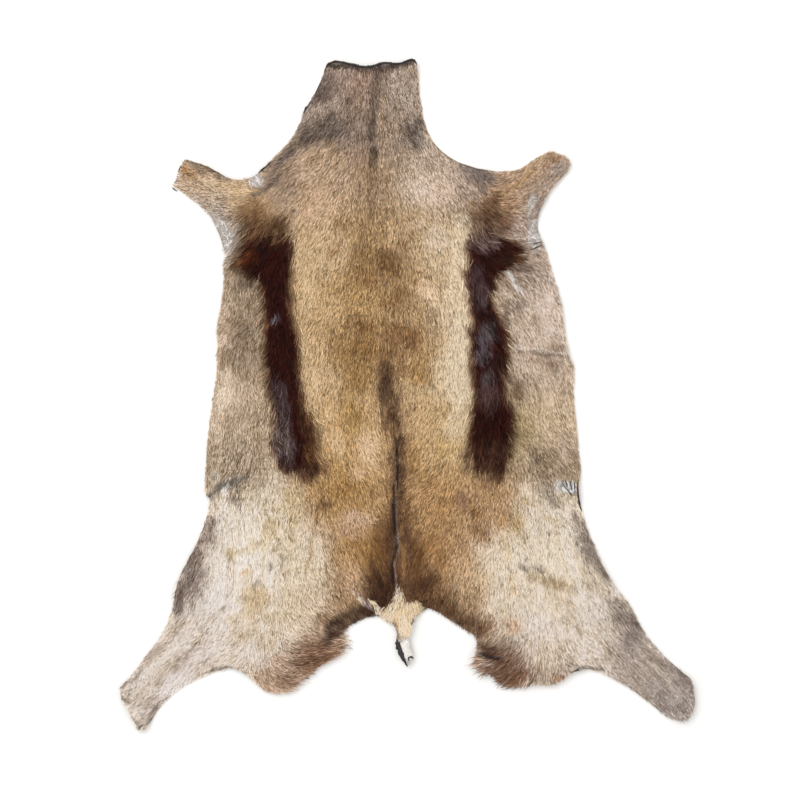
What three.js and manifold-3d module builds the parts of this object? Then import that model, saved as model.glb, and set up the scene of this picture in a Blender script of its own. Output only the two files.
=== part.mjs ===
// A springbok skin, tanned with its hair on and laid out flat with the hair side up.
// Millimetres, +Z up, the neck towards +Y. The origin is on the floor, under the middle of the skin.

import * as THREE from "three";
import { mergeVertices } from "three/addons/utils/BufferGeometryUtils.js";
import Module from "manifold-3d";

const wasm = await Module();
wasm.setup();

// Thicknesses
const skinThick = 1.5;
const coatDeep = 4.5;
const stripeCoatExtra = 3.5;
const rumpCoatExtra = 2;
const legCoatLess = 2;
const bareCoatLess = 4;
const rimCoatShare = 0.2;
const rimWide = 20;

// The grid that carries the relief
const gridReachX = 500;
const gridReachY = 530;
const columnsAcross = 60;
const rowsAlong = 64;
const columnCrowding = 1.2;
const edgeStep = 10;
const cutTall = 80;

// The cut edge, walked anticlockwise from the right end of the neck. Each stretch starts where the
// one before it ends, and is smooth between its two ends.
const outline = {
  neckEdge: [
    { x: 9, y: 504 },
    { x: -10, y: 495 },
    { x: -36, y: 497 },
    { x: -61, y: 490 },
    { x: -106, y: 499 },
    { x: -121, y: 494 },
  ],
  leftNeck: [
    { x: -133, y: 462 },
    { x: -154, y: 427 },
    { x: -156, y: 416 },
    { x: -169, y: 388 },
    { x: -193, y: 361 },
    { x: -214, y: 339 },
    { x: -240, y: 323 },
    { x: -264, y: 322 },
  ],
  leftForelegTop: [
    { x: -297, y: 341 },
    { x: -331, y: 352 },
  ],
  leftForelegEnd: [
    { x: -344, y: 331 },
    { x: -352, y: 312 },
  ],
  leftForelegBelow: [
    { x: -328, y: 297 },
    { x: -300, y: 272 },
    { x: -282, y: 237 },
    { x: -274, y: 211 },
    { x: -265, y: 209 },
  ],
  leftFlank: [
    { x: -274, y: 202 },
    { x: -275, y: 164 },
    { x: -283, y: 104 },
    { x: -286, y: 35 },
    { x: -299, y: -60 },
    { x: -302, y: -144 },
    { x: -296, y: -153 },
  ],
  leftHaunch: [
    { x: -301, y: -183 },
    { x: -318, y: -227 },
    { x: -341, y: -272 },
    { x: -351, y: -318 },
    { x: -366, y: -357 },
    { x: -399, y: -401 },
    { x: -430, y: -439 },
  ],
  leftHindEnd: [
    { x: -427, y: -456 },
    { x: -417, y: -475 },
    { x: -405, y: -500 },
    { x: -398, y: -505 },
    { x: -388, y: -499 },
  ],
  leftHindInner: [
    { x: -368, y: -468 },
    { x: -342, y: -443 },
    { x: -305, y: -422 },
    { x: -264, y: -411 },
    { x: -237, y: -421 },
    { x: -218, y: -440 },
    { x: -199, y: -448 },
    { x: -178, y: -440 },
    { x: -134, y: -408 },
    { x: -101, y: -383 },
  ],
  leftRump: [
    { x: -104, y: -368 },
    { x: -94, y: -351 },
    { x: -62, y: -334 },
    { x: -38, y: -331 },
  ],
  tailLeft: [
    { x: -17, y: -346 },
    { x: -16, y: -372 },
    { x: -7, y: -394 },
    { x: 2, y: -409 },
  ],
  tailRight: [
    { x: 12, y: -392 },
    { x: 4, y: -369 },
    { x: 3, y: -351 },
    { x: 12, y: -333 },
    { x: 22, y: -323 },
  ],
  rightRump: [
    { x: 34, y: -320 },
    { x: 56, y: -332 },
    { x: 86, y: -351 },
    { x: 106, y: -364 },
  ],
  rightFringe: [
    { x: 107, y: -385 },
    { x: 105, y: -402 },
    { x: 126, y: -417 },
    { x: 146, y: -434 },
    { x: 165, y: -437 },
    { x: 192, y: -433 },
    { x: 210, y: -436 },
    { x: 229, y: -430 },
    { x: 249, y: -415 },
  ],
  rightHindInner: [
    { x: 283, y: -414 },
    { x: 319, y: -432 },
    { x: 361, y: -461 },
    { x: 388, y: -483 },
    { x: 414, y: -490 },
  ],
  rightHindEnd: [
    { x: 425, y: -481 },
    { x: 430, y: -464 },
    { x: 426, y: -425 },
  ],
  rightHaunch: [
    { x: 390, y: -396 },
    { x: 353, y: -353 },
    { x: 333, y: -313 },
    { x: 302, y: -273 },
    { x: 274, y: -210 },
    { x: 258, y: -160 },
    { x: 256, y: -132 },
  ],
  rightFlank: [
    { x: 259, y: -115 },
    { x: 254, y: -60 },
    { x: 249, y: 0 },
    { x: 250, y: 41 },
    { x: 241, y: 60 },
  ],
  rightFlankAbove: [
    { x: 235, y: 102 },
    { x: 226, y: 155 },
    { x: 210, y: 204 },
    { x: 195, y: 256 },
  ],
  rightForelegBelow: [
    { x: 202, y: 281 },
    { x: 216, y: 306 },
    { x: 240, y: 332 },
    { x: 245, y: 345 },
  ],
  rightForelegEnd: [
    { x: 238, y: 357 },
    { x: 229, y: 357 },
    { x: 217, y: 365 },
  ],
  rightForelegTop: [
    { x: 196, y: 356 },
    { x: 172, y: 340 },
    { x: 148, y: 333 },
    { x: 121, y: 337 },
  ],
  rightNeck: [
    { x: 88, y: 344 },
    { x: 52, y: 366 },
    { x: 28, y: 400 },
    { x: 19, y: 455 },
    { x: 16, y: 494 },
  ],
};

// Two worn holes through the thin skin beside the right flank's tear
const wornHoles = [
  { x: 232.5, y: -133, wide: 9, tall: 13, turn: 20 },
  { x: 244.5, y: -137, wide: 8, tall: 16, turn: -8 },
];

// Dark flank stripes of longer hair: the left and right edge of each at several places down the body
const leftStripe = [
  { y: 240, left: -222, right: -178 },
  { y: 223, left: -252, right: -174 },
  { y: 207, left: -261, right: -172 },
  { y: 189, left: -243, right: -172 },
  { y: 176, left: -216, right: -172 },
  { y: 109, left: -211, right: -168 },
  { y: 17, left: -208, right: -156 },
  { y: -76, left: -205, right: -137 },
  { y: -120, left: -181, right: -144 },
];
const rightStripe = [
  { y: 246, left: 90, right: 146 },
  { y: 219, left: 88, right: 172 },
  { y: 205, left: 89, right: 180 },
  { y: 190, left: 91, right: 140 },
  { y: 155, left: 95, right: 130 },
  { y: 75, left: 96, right: 153 },
  { y: 17, left: 100, right: 152 },
  { y: -40, left: 92, right: 162 },
  { y: -90, left: 88, right: 156 },
  { y: -122, left: 104, right: 140 },
];

// The fold of skin down the rear half of the back, a crease between two lips
const backFold = [
  { y: 60, x: -33 },
  { y: 10, x: -36 },
  { y: -37, x: -31 },
  { y: -82, x: -23 },
  { y: -127, x: -17 },
  { y: -217, x: -14 },
  { y: -312, x: -10 },
];
const creaseDeep = 3;
const creaseWide = 6;
const lipHigh = 3;
const lipApart = 12;
const lipWide = 9;
const foldFade = 45;

// Where the skin stands off the floor in soft ridges, from one end to the other
const lifts = [
  { at: "neck edge", x1: -122, y1: 496, x2: 14, y2: 500, wide: 22, high: 9 },
  { at: "neck middle", x1: -60, y1: 470, x2: -40, y2: 330, wide: 34, high: 3.5 },
  { at: "left shoulder pinch", x1: -216, y1: 338, x2: -240, y2: 292, wide: 18, high: 7 },
  { at: "left foreleg roll", x1: -332, y1: 350, x2: -266, y2: 320, wide: 16, high: 9 },
  { at: "left armpit", x1: -310, y1: 276, x2: -268, y2: 212, wide: 18, high: 6 },
  { at: "left flank above", x1: -284, y1: 108, x2: -240, y2: 92, wide: 17, high: 6 },
  { at: "left flank", x1: -292, y1: 20, x2: -252, y2: 60, wide: 20, high: 4 },
  { at: "left flank tear", x1: -302, y1: -148, x2: -250, y2: -126, wide: 17, high: 7 },
  { at: "left haunch", x1: -132, y1: -150, x2: -168, y2: -262, wide: 30, high: 5 },
  { at: "left thigh", x1: -250, y1: -300, x2: -190, y2: -226, wide: 34, high: 4.5 },
  { at: "left hind edge", x1: -352, y1: -300, x2: -318, y2: -226, wide: 18, high: 6 },
  { at: "left hock", x1: -236, y1: -424, x2: -260, y2: -370, wide: 22, high: 6 },
  { at: "left hind end", x1: -430, y1: -446, x2: -398, y2: -500, wide: 16, high: 8 },
  { at: "left fringe", x1: -196, y1: -440, x2: -108, y2: -386, wide: 22, high: 5 },
  { at: "tail", x1: -6, y1: -300, x2: 4, y2: -404, wide: 16, high: 9 },
  { at: "right fringe", x1: 112, y1: -398, x2: 232, y2: -430, wide: 22, high: 6 },
  { at: "right hock", x1: 252, y1: -412, x2: 278, y2: -356, wide: 22, high: 5 },
  { at: "right hind end", x1: 428, y1: -432, x2: 420, y2: -484, wide: 18, high: 9 },
  { at: "right haunch", x1: 106, y1: -160, x2: 176, y2: -276, wide: 32, high: 5 },
  { at: "right thigh", x1: 300, y1: -276, x2: 236, y2: -232, wide: 26, high: 4.5 },
  { at: "right flank tear", x1: 210, y1: -122, x2: 258, y2: -146, wide: 17, high: 7 },
  { at: "right flank pleat", x1: 150, y1: 78, x2: 244, y2: 58, wide: 14, high: 7 },
  { at: "right flank above", x1: 132, y1: 110, x2: 232, y2: 124, wide: 30, high: 4 },
  { at: "right armpit", x1: 176, y1: 234, x2: 200, y2: 226, wide: 14, high: 6 },
  { at: "right foreleg crease", x1: 236, y1: 350, x2: 182, y2: 272, wide: 15, high: 7 },
  { at: "right shoulder", x1: 120, y1: 336, x2: 70, y2: 300, wide: 24, high: 5 },
  { at: "shoulders", x1: -150, y1: 236, x2: 60, y2: 232, wide: 52, high: 4 },
];
const restsBelow = 0.6;

// Where the coat is short or worn off, or long: round patches
const coatPatches = [
  { at: "left foreleg", x: -310, y: 315, wide: 60, deeper: -legCoatLess },
  { at: "right foreleg", x: 220, y: 330, wide: 60, deeper: -legCoatLess },
  { at: "left hind leg", x: -400, y: -450, wide: 90, deeper: -legCoatLess },
  { at: "right hind leg", x: 390, y: -440, wide: 100, deeper: -legCoatLess },
  { at: "neck", x: -50, y: 470, wide: 90, deeper: -legCoatLess / 2 },
  { at: "left armpit", x: -280, y: 240, wide: 32, deeper: -bareCoatLess },
  { at: "right armpit", x: 192, y: 240, wide: 24, deeper: -bareCoatLess },
  { at: "left flank tear", x: -282, y: -142, wide: 20, deeper: -bareCoatLess },
  { at: "right flank tear", x: 236, y: -134, wide: 24, deeper: -bareCoatLess },
  { at: "left rump", x: -80, y: -330, wide: 70, deeper: rumpCoatExtra },
  { at: "right rump", x: 80, y: -330, wide: 70, deeper: rumpCoatExtra },
  { at: "left fringe", x: -150, y: -400, wide: 50, deeper: rumpCoatExtra },
  { at: "right fringe", x: 160, y: -410, wide: 60, deeper: rumpCoatExtra },
];

const clamp01 = (t) => Math.min(1, Math.max(0, t));
const ease = (t) => clamp01(t) ** 2 * (3 - 2 * clamp01(t));
const bell = (distance, wide) => Math.exp(-((distance / wide) ** 2));

// A value read from a table that runs down the body
function alongBody(table, y, column) {
  const rows = [...table].sort((a, b) => a.y - b.y);
  const above = rows.findIndex((row) => row.y >= y);
  if (above === -1) return rows.at(-1)[column];
  if (above === 0) return rows[0][column];
  const low = rows[above - 1];
  const high = rows[above];
  return low[column] + ((high[column] - low[column]) * (y - low.y)) / (high.y - low.y);
}

function outlinePoints() {
  const points = [];
  let from = outline.rightNeck.at(-1);
  for (const stretch of Object.values(outline)) {
    const curve = new THREE.SplineCurve([from, ...stretch].map((p) => new THREE.Vector2(p.x, p.y)));
    const steps = Math.max(2, Math.round(curve.getLength() / edgeStep));
    points.push(...curve.getSpacedPoints(steps).slice(1));
    from = stretch.at(-1);
  }
  return points;
}

function distanceToSegment(x, y, { x1, y1, x2, y2 }) {
  const along = ((x - x1) * (x2 - x1) + (y - y1) * (y2 - y1)) / ((x2 - x1) ** 2 + (y2 - y1) ** 2);
  const t = clamp01(along);
  return Math.hypot(x - x1 - t * (x2 - x1), y - y1 - t * (y2 - y1));
}

// How far the underside stands off the floor
function liftAt(x, y) {
  const standing = lifts.map((ridge) => ridge.high * bell(distanceToSegment(x, y, ridge), ridge.wide));
  return Math.max(0, Math.hypot(...standing) - restsBelow);
}

// 1 inside a stripe, falling to 0 a little outside it
function inStripe(x, y, stripe) {
  const fade = 14;
  const sides = Math.max(alongBody(stripe, y, "left") - x, x - alongBody(stripe, y, "right"));
  const ends = Math.max(y - stripe[0].y, stripe.at(-1).y - y);
  return ease(1 - (Math.max(sides, ends) + fade / 2) / fade);
}

function backFoldRelief(x, y) {
  const aside = Math.abs(x - alongBody(backFold, y, "x"));
  const top = ease((backFold[0].y - y) / foldFade);
  const bottom = ease((y - backFold.at(-1).y) / foldFade);
  const lips = lipHigh * bell(aside - lipApart, lipWide);
  return (lips - creaseDeep * bell(aside, creaseWide)) * top * bottom;
}

// Skin and lying coat together
function thicknessAt(x, y, edge) {
  const inside = Math.min(...edge.map((p) => Math.hypot(p.x - x, p.y - y)));
  const rim = rimCoatShare + (1 - rimCoatShare) * ease(inside / rimWide);
  const patches = coatPatches.reduce((sum, p) => sum + p.deeper * bell(Math.hypot(x - p.x, y - p.y), p.wide), 0);
  const stripes = stripeCoatExtra * Math.max(inStripe(x, y, leftStripe), inStripe(x, y, rightStripe));
  const coat = coatDeep + patches + stripes + backFoldRelief(x, y);
  return skinThick + Math.max(0, coat) * rim;
}

function solidFrom(geometry) {
  const bare = new THREE.BufferGeometry();
  bare.setAttribute("position", geometry.getAttribute("position"));
  bare.setIndex(geometry.getIndex());
  const merged = mergeVertices(bare, 1e-3);
  return new wasm.Manifold(
    new wasm.Mesh({
      numProp: 3,
      vertProperties: merged.getAttribute("position").array,
      triVerts: new Uint32Array(merged.getIndex().array),
    }),
  );
}

// A sheet over the whole area, its columns crowded together beside the back fold
function reliefSheet(edge) {
  const sheet = new THREE.BoxGeometry(2, 2, 2, columnsAcross, rowsAlong, 1);
  const place = sheet.getAttribute("position");
  for (let i = 0; i < place.count; i++) {
    const across = place.getX(i);
    const y = place.getY(i) * gridReachY;
    const crowded = Math.sign(across) * Math.abs(across) ** columnCrowding * gridReachX;
    const x = alongBody(backFold, y, "x") + crowded;
    const under = liftAt(x, y);
    const z = place.getZ(i) > 0 ? under + thicknessAt(x, y, edge) : under;
    place.setXYZ(i, x, y, z);
  }
  return solidFrom(sheet);
}

function cutter(edge) {
  const shape = new THREE.Shape(edge);
  for (const { x, y, wide, tall, turn } of wornHoles) {
    const hole = new THREE.EllipseCurve(x, y, wide / 2, tall / 2, 0, 2 * Math.PI, true, (turn * Math.PI) / 180);
    shape.holes.push(new THREE.Path(hole.getPoints(10).slice(1)));
  }
  const prism = new THREE.ExtrudeGeometry(shape, { depth: cutTall, bevelEnabled: false });
  prism.translate(0, 0, -cutTall / 2);
  return solidFrom(mergeVertices(prism.deleteAttribute("normal").deleteAttribute("uv")));
}

function hideGeometry() {
  const edge = outlinePoints();
  const cut = reliefSheet(edge).intersect(cutter(edge)).getMesh();
  const geometry = new THREE.BufferGeometry();
  geometry.setAttribute("position", new THREE.Float32BufferAttribute(cut.vertProperties, 3));
  geometry.setIndex(new THREE.BufferAttribute(cut.triVerts, 1));
  geometry.computeBoundingBox();
  const middle = geometry.boundingBox.getCenter(new THREE.Vector3());
  geometry.translate(-middle.x, -middle.y, -geometry.boundingBox.min.z);
  geometry.computeVertexNormals();
  return geometry;
}

const fawnCoat = new THREE.MeshStandardMaterial({ color: 0xab8d6c, roughness: 0.85, metalness: 0 });

const hide = new THREE.Mesh(hideGeometry(), fawnCoat);
hide.name = "hide";

const springbokSkin = new THREE.Group();
springbokSkin.add(hide);

export default springbokSkin;
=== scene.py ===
# A springbok skin, tanned with its hair on and laid flat on the floor, hair side up.
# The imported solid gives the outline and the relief. This adds the tanned skin and its coat of hair.
# Places on the skin are in millimetres, headings in degrees anticlockwise from +X.
import math
import time

import bpy
import numpy as np
from mathutils.bvhtree import BVHTree
from mathutils.geometry import delaunay_2d_cdt
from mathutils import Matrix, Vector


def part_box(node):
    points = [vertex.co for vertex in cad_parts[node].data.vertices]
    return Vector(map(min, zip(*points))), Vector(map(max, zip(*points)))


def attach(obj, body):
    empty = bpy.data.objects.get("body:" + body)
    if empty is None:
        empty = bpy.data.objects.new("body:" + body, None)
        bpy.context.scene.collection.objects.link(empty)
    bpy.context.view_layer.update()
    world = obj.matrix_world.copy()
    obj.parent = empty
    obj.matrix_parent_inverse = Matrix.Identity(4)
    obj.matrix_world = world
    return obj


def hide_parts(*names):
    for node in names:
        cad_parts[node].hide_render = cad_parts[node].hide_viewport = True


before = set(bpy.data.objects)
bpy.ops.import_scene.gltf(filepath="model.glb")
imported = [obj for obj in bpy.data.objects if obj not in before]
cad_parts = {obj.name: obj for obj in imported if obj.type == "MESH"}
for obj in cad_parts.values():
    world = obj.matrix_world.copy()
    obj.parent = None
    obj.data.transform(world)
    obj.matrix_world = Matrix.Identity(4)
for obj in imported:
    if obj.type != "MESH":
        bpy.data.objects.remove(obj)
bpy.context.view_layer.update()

started = time.time()
mm = 0.001


def say(text):
    print(f"{time.time() - started:6.1f} s  {text}")


def ease(t):
    t = np.clip(t, 0, 1)
    return t * t * (3 - 2 * t)


def table(columns, *rows):
    # Rows of values under named columns
    return [dict(zip(columns.split(), row)) for row in rows]


def linear(hexColour):
    # sRGB hex to Blender's linear colour
    raw = np.array([int(hexColour[i : i + 2], 16) for i in (1, 3, 5)]) / 255
    return np.where(raw <= 0.04045, raw / 12.92, ((raw + 0.055) / 1.055) ** 2.4)


# An even grid over the skin, on which every map of the coat is worked out
sheet = {"spacing": 1.6, "margin": 36.0, "skinThick": 1.5, "rootDeep": 0.3}
low, high = (np.array(corner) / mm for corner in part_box("hide"))
gridLow = low[:2] - sheet["margin"]
gridHigh = high[:2] + sheet["margin"]
gridX, gridY = np.meshgrid(
    np.arange(gridLow[0], gridHigh[0], sheet["spacing"]),
    np.arange(gridLow[1], gridHigh[1], sheet["spacing"]),
)


def read(field, x, y):
    # A map's value between its grid points
    u = np.clip((x - gridLow[0]) / sheet["spacing"], 0, field.shape[1] - 1.001)
    v = np.clip((y - gridLow[1]) / sheet["spacing"], 0, field.shape[0] - 1.001)
    i, j = u.astype(int), v.astype(int)
    fu, fv = u - i, v - j
    if field.ndim == 3:
        fu, fv = fu[..., None], fv[..., None]
    below = field[j, i] * (1 - fu) + field[j, i + 1] * fu
    above = field[j + 1, i] * (1 - fu) + field[j + 1, i + 1] * fu
    return below * (1 - fv) + above * fv


def softNoise(size, seed, x=gridX, y=gridY):
    # Smooth random values from -1 to 1 that change over about this many millimetres
    lattice = np.random.default_rng(seed).uniform(-1, 1, (256, 256))
    u, v = x / size + 100, y / size + 100
    i, j = np.floor(u).astype(int), np.floor(v).astype(int)
    fu, fv = ease(u - i), ease(v - j)
    i0, i1, j0, j1 = i % 256, (i + 1) % 256, j % 256, (j + 1) % 256
    below = lattice[j0, i0] * (1 - fu) + lattice[j0, i1] * fu
    above = lattice[j1, i0] * (1 - fu) + lattice[j1, i1] * fu
    return below * (1 - fv) + above * fv


def toLine(x, y, line):
    # Distance to a line through the given places
    nearest = np.full(x.shape, 1e9)
    for (x1, y1), (x2, y2) in zip(line, line[1:]):
        t = ((x - x1) * (x2 - x1) + (y - y1) * (y2 - y1)) / ((x2 - x1) ** 2 + (y2 - y1) ** 2)
        t = np.clip(t, 0, 1)
        nearest = np.minimum(nearest, np.hypot(x - x1 - t * (x2 - x1), y - y1 - t * (y2 - y1)))
    return nearest


def inPatch(row, x=gridX, y=gridY):
    # 1 in the middle of an oval patch, easing to 0 at its edge
    turn = math.radians(row.get("turn", 0))
    u = (x - row["x"]) * math.cos(turn) + (y - row["y"]) * math.sin(turn)
    v = (y - row["y"]) * math.cos(turn) - (x - row["x"]) * math.sin(turn)
    away = np.hypot(u / (row["wide"] / 2), v / (row["tall"] / 2))
    return ease((1 - away) / row.get("soft", 0.7))


# The cut edge of the skin, from the solid's rim
def openEdges(mesh):
    mesh.calc_loop_triangles()
    place = [tuple(round(c / mm, 2) for c in v.co) for v in mesh.vertices]
    edges = set()
    for tri in mesh.loop_triangles:
        if tri.normal.z > 0.3:
            a, b, c = (place[v] for v in tri.vertices)
            edges |= {(a, b), (b, c), (c, a)}
    return {start: end for start, end in edges if (end, start) not in edges}


def closedLoops(following):
    loops = []
    while following:
        point = next(iter(following))
        loop = []
        while point in following:
            loop.append(point[:2])
            point = following.pop(point)
        loops.append(np.array(loop))
    return sorted(loops, key=len, reverse=True)


def evenLoop(loop, step, rounds):
    # Evenly spaced points round the loop, its corners eased
    closed = np.vstack([loop, loop[:1]])
    along = np.concatenate([[0], np.cumsum(np.hypot(*np.diff(closed, axis=0).T))])
    at = np.linspace(0, along[-1], max(16, int(along[-1] / step)), endpoint=False)
    even = np.column_stack([np.interp(at, along, closed[:, k]) for k in (0, 1)])
    for _ in range(rounds):
        even = even * 0.5 + (np.roll(even, 1, 0) + np.roll(even, -1, 0)) * 0.25
    return even


def areaOf(loop):
    x, y = loop.T
    return abs(np.dot(x, np.roll(y, 1)) - np.dot(y, np.roll(x, 1))) / 2


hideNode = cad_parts["hide"]
rims = [loop for loop in closedLoops(openEdges(hideNode.data)) if len(loop) > 6]
cutEdges = [evenLoop(loop, 3.0, 3 if number == 0 else 1) for number, loop in enumerate(rims)]
flatArea = areaOf(cutEdges[0]) - sum(areaOf(hole) for hole in cutEdges[1:])
say(f"cut edge read: {len(cutEdges) - 1} worn holes, {flatArea / 1e6:.3f} square metres of skin")


# Height maps of the solid, and how far each place is inside the cut edge
def readHeights(mesh):
    tree = BVHTree.FromPolygons([v.co for v in mesh.vertices], [p.vertices[:] for p in mesh.polygons])
    top = np.full(gridX.shape, np.nan)
    under = np.full(gridX.shape, np.nan)
    for j, i in np.ndindex(gridX.shape):
        x, y = gridX[j, i] * mm, gridY[j, i] * mm
        fromAbove = tree.ray_cast((x, y, 0.2), (0, 0, -1))[0]
        if fromAbove:
            top[j, i] = fromAbove.z / mm
            under[j, i] = tree.ray_cast((x, y, -0.2), (0, 0, 1))[0].z / mm
    return top, under


def spreadOutwards(field, rings):
    # Carries the values on past the edge
    field = field.copy()
    for _ in range(rings):
        around = np.stack([np.roll(field, move, axis) for axis in (0, 1) for move in (1, -1)])
        count = np.isfinite(around).sum(0)
        mean = np.nansum(around, 0) / np.maximum(count, 1)
        field = np.where(np.isnan(field) & (count > 0), mean, field)
    return np.nan_to_num(field)


def smoothed(field, times):
    for _ in range(times):
        field = (field * 2 + sum(np.roll(field, move, axis) for axis in (0, 1) for move in (1, -1))) / 6
    return field


def insideBy(loops, covered):
    # Distance to the nearest cut edge, below 0 outside
    corners, faces = [], []
    for loop in loops:
        first, count = len(corners), len(loop)
        corners += [(x, y, z) for x, y in loop for z in (-1, 1)]
        for k in range(count):
            a, b = first + 2 * k, first + 2 * ((k + 1) % count)
            faces.append((a, b, b + 1, a + 1))
    tree = BVHTree.FromPolygons(corners, faces)
    away = np.empty(gridX.shape)
    for j, i in np.ndindex(gridX.shape):
        away[j, i] = tree.find_nearest((gridX[j, i], gridY[j, i], 0))[3]
    return np.where(covered, away, -away)


solidTop, solidUnder = readHeights(hideNode.data)
inside = insideBy(cutEdges, np.isfinite(solidTop))
underside = smoothed(spreadOutwards(solidUnder, 24), 3)
coatDepth = smoothed(spreadOutwards(solidTop - solidUnder - sheet["skinThick"], 24), 2)
say("heights read from the solid")

# Which way the hair lies: where its tips point
lie = table(
    "x y to",
    # Neck and withers
    (-55, 490, -90), (-55, 430, -90), (-110, 480, -100), (-130, 430, -122), (-150, 390, -140),
    (0, 480, -82), (8, 430, -74), (22, 385, -58), (-52, 350, -90),
    # Left shoulder, foreleg and armpit
    (-120, 340, -128), (-180, 345, -148), (-150, 290, -122), (-200, 290, -128), (-235, 300, 172),
    (-290, 312, 160), (-330, 325, 160), (-280, 285, 168), (-270, 240, -110),
    # Right shoulder, foreleg and armpit
    (50, 330, -62), (110, 320, -58), (60, 270, -66), (110, 280, -52), (150, 310, 32), (190, 328, 38),
    (228, 345, 44), (200, 295, 60), (190, 245, -60),
    # Back
    (-50, 250, -92), (-120, 220, -112), (-130, 120, -112), (-130, 30, -106), (-60, 150, -102),
    (-70, 70, -100), (20, 220, -82), (60, 130, -78), (60, 40, -86), (-10, 120, -88),
    # Either side of the back's fold, and the loin
    (-60, -20, -72), (-55, -100, -58), (-50, -190, -56), (-45, -260, -60), (0, 10, -104), (20, -60, -124),
    (25, -140, -128), (25, -220, -124), (25, -290, -110), (-105, -60, -82), (-105, -160, -76),
    (75, -60, -104), (80, -160, -106),
    # Stripes and their hooks
    (-195, 160, -94), (-190, 60, -92), (-180, -40, -84), (-165, -110, -70), (-240, 205, -150),
    (-225, 260, -118), (-215, 225, -112), (105, 150, -80), (125, 60, -76), (125, -40, -92),
    (122, -110, -96), (115, 250, -60), (150, 225, -28), (160, 203, -6),
    # Flanks
    (-250, 150, -100), (-255, 100, -112), (-260, 40, -92), (-265, -40, -92), (-265, -110, -104),
    (165, 150, -56), (205, 150, -62), (200, 60, -72), (215, -10, -70), (180, -70, -64), (220, -100, -64),
    # Left haunch and hind leg
    (-240, -180, -96), (-170, -200, -92), (-200, -280, -94), (-270, -260, -100), (-330, -260, -112),
    (-290, -340, -118), (-340, -390, -138), (-400, -455, -130), (-370, -450, -126), (-220, -370, -100),
    (-262, -400, -140),
    # Left rump and its fringe
    (-120, -280, -76), (-130, -340, -52), (-75, -325, -58), (-120, -384, 10), (-104, -372, 4),
    (-150, -404, 6), (-166, -428, 24), (-190, -436, -20), (-208, -424, -74),
    # Right rump and its fringe
    (90, -260, -92), (70, -325, -96), (120, -350, -106), (125, -392, -172), (140, -418, -150),
    (185, -415, -112), (225, -415, -78),
    # Right haunch and hind leg
    (160, -200, -84), (200, -270, -84), (180, -340, -88), (250, -330, -72), (280, -230, -62),
    (325, -320, -58), (330, -390, -46), (400, -455, -52), (262, -400, -40),
    # Tail
    (-5, -330, -92), (0, -390, -88),
)


def lieOfHair(rows, near=16.0):
    aimX, aimY, total = 0, 0, 0
    for row in rows:
        weight = 1 / ((gridX - row["x"]) ** 2 + (gridY - row["y"]) ** 2 + near**2) ** 1.6
        aimX = aimX + weight * math.cos(math.radians(row["to"]))
        aimY = aimY + weight * math.sin(math.radians(row["to"]))
        total = total + weight
    wander = np.radians(9 * softNoise(34, 3) + 8 * softNoise(15, 4))
    turned = np.arctan2(aimY, aimX) + wander
    return np.cos(turned), np.sin(turned)


def combed(noise, reach, steps):
    # Noise drawn out along the hair, so that it lies in locks
    total = np.zeros(gridX.shape)
    for way in (1, -1):
        x, y = gridX.copy(), gridY.copy()
        for _ in range(steps):
            stepX, stepY = read(lieX, x, y), read(lieY, x, y)
            x += way * stepX * reach / steps
            y += way * stepY * reach / steps
            total += read(noise, x, y)
    total -= total.mean()
    return np.clip(total / (2 * total.std()), -1, 1)


def strands(size, reach, seed, x, y):
    # The same for single hairs: shades that run on along them, finer than the grid
    alongX, alongY = read(lieX, x, y), read(lieY, x, y)
    drawn = sum(
        softNoise(size, seed, x + t * alongX, y + t * alongY) for t in np.linspace(-reach, reach, 7)
    )
    return np.clip(drawn / (2 * drawn.std()), -1, 1)


lieX, lieY = lieOfHair(lie)
speckle = np.random.default_rng(7).normal(0, 1, gridX.shape)
fineLocks = combed(speckle, 7, 5)
broadLocks = combed(softNoise(5, 8), 22, 7)
longLocks = combed(softNoise(9, 23), 50, 10)
locks = 0.55 * fineLocks + 0.45 * broadLocks
say("hair combed")

# The dark stripes of longer hair: left and right edge at places down the body
leftStripe = table(
    "y left right",
    (244, -246, -182), (232, -249, -175), (218, -253, -174), (200, -258, -173), (184, -247, -173),
    (166, -220, -175), (128, -214, -173), (109, -215, -169), (60, -213, -161), (20, -208, -161),
    (-16, -198, -154), (-52, -197, -137), (-76, -202, -133), (-106, -190, -132), (-122, -166, -144),
)
rightStripe = table(
    "y left right",
    (240, 96, 134), (228, 91, 158), (216, 89, 171), (203, 91, 173), (192, 91, 162), (178, 86, 138),
    (150, 93, 126), (128, 94, 130), (110, 97, 142), (92, 95, 151), (60, 95, 151), (20, 97, 146),
    (0, 104, 149), (-34, 97, 160), (-60, 95, 157), (-95, 97, 152), (-120, 106, 144),
)


def inStripe(rows, fade, fadeTop, x=gridX, y=gridY):
    # 1 inside the stripe, easing to 0 over its edges, and more slowly at its top
    rows = sorted(rows, key=lambda row: row["y"])
    heights = [row["y"] for row in rows]
    left = np.interp(y, heights, [row["left"] for row in rows])
    right = np.interp(y, heights, [row["right"] for row in rows])
    outside = np.maximum(np.maximum(left - x, x - right), heights[0] - y)
    return ease(0.5 - outside / fade) * ease(0.5 - (y - heights[-1]) / fadeTop)


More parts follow.
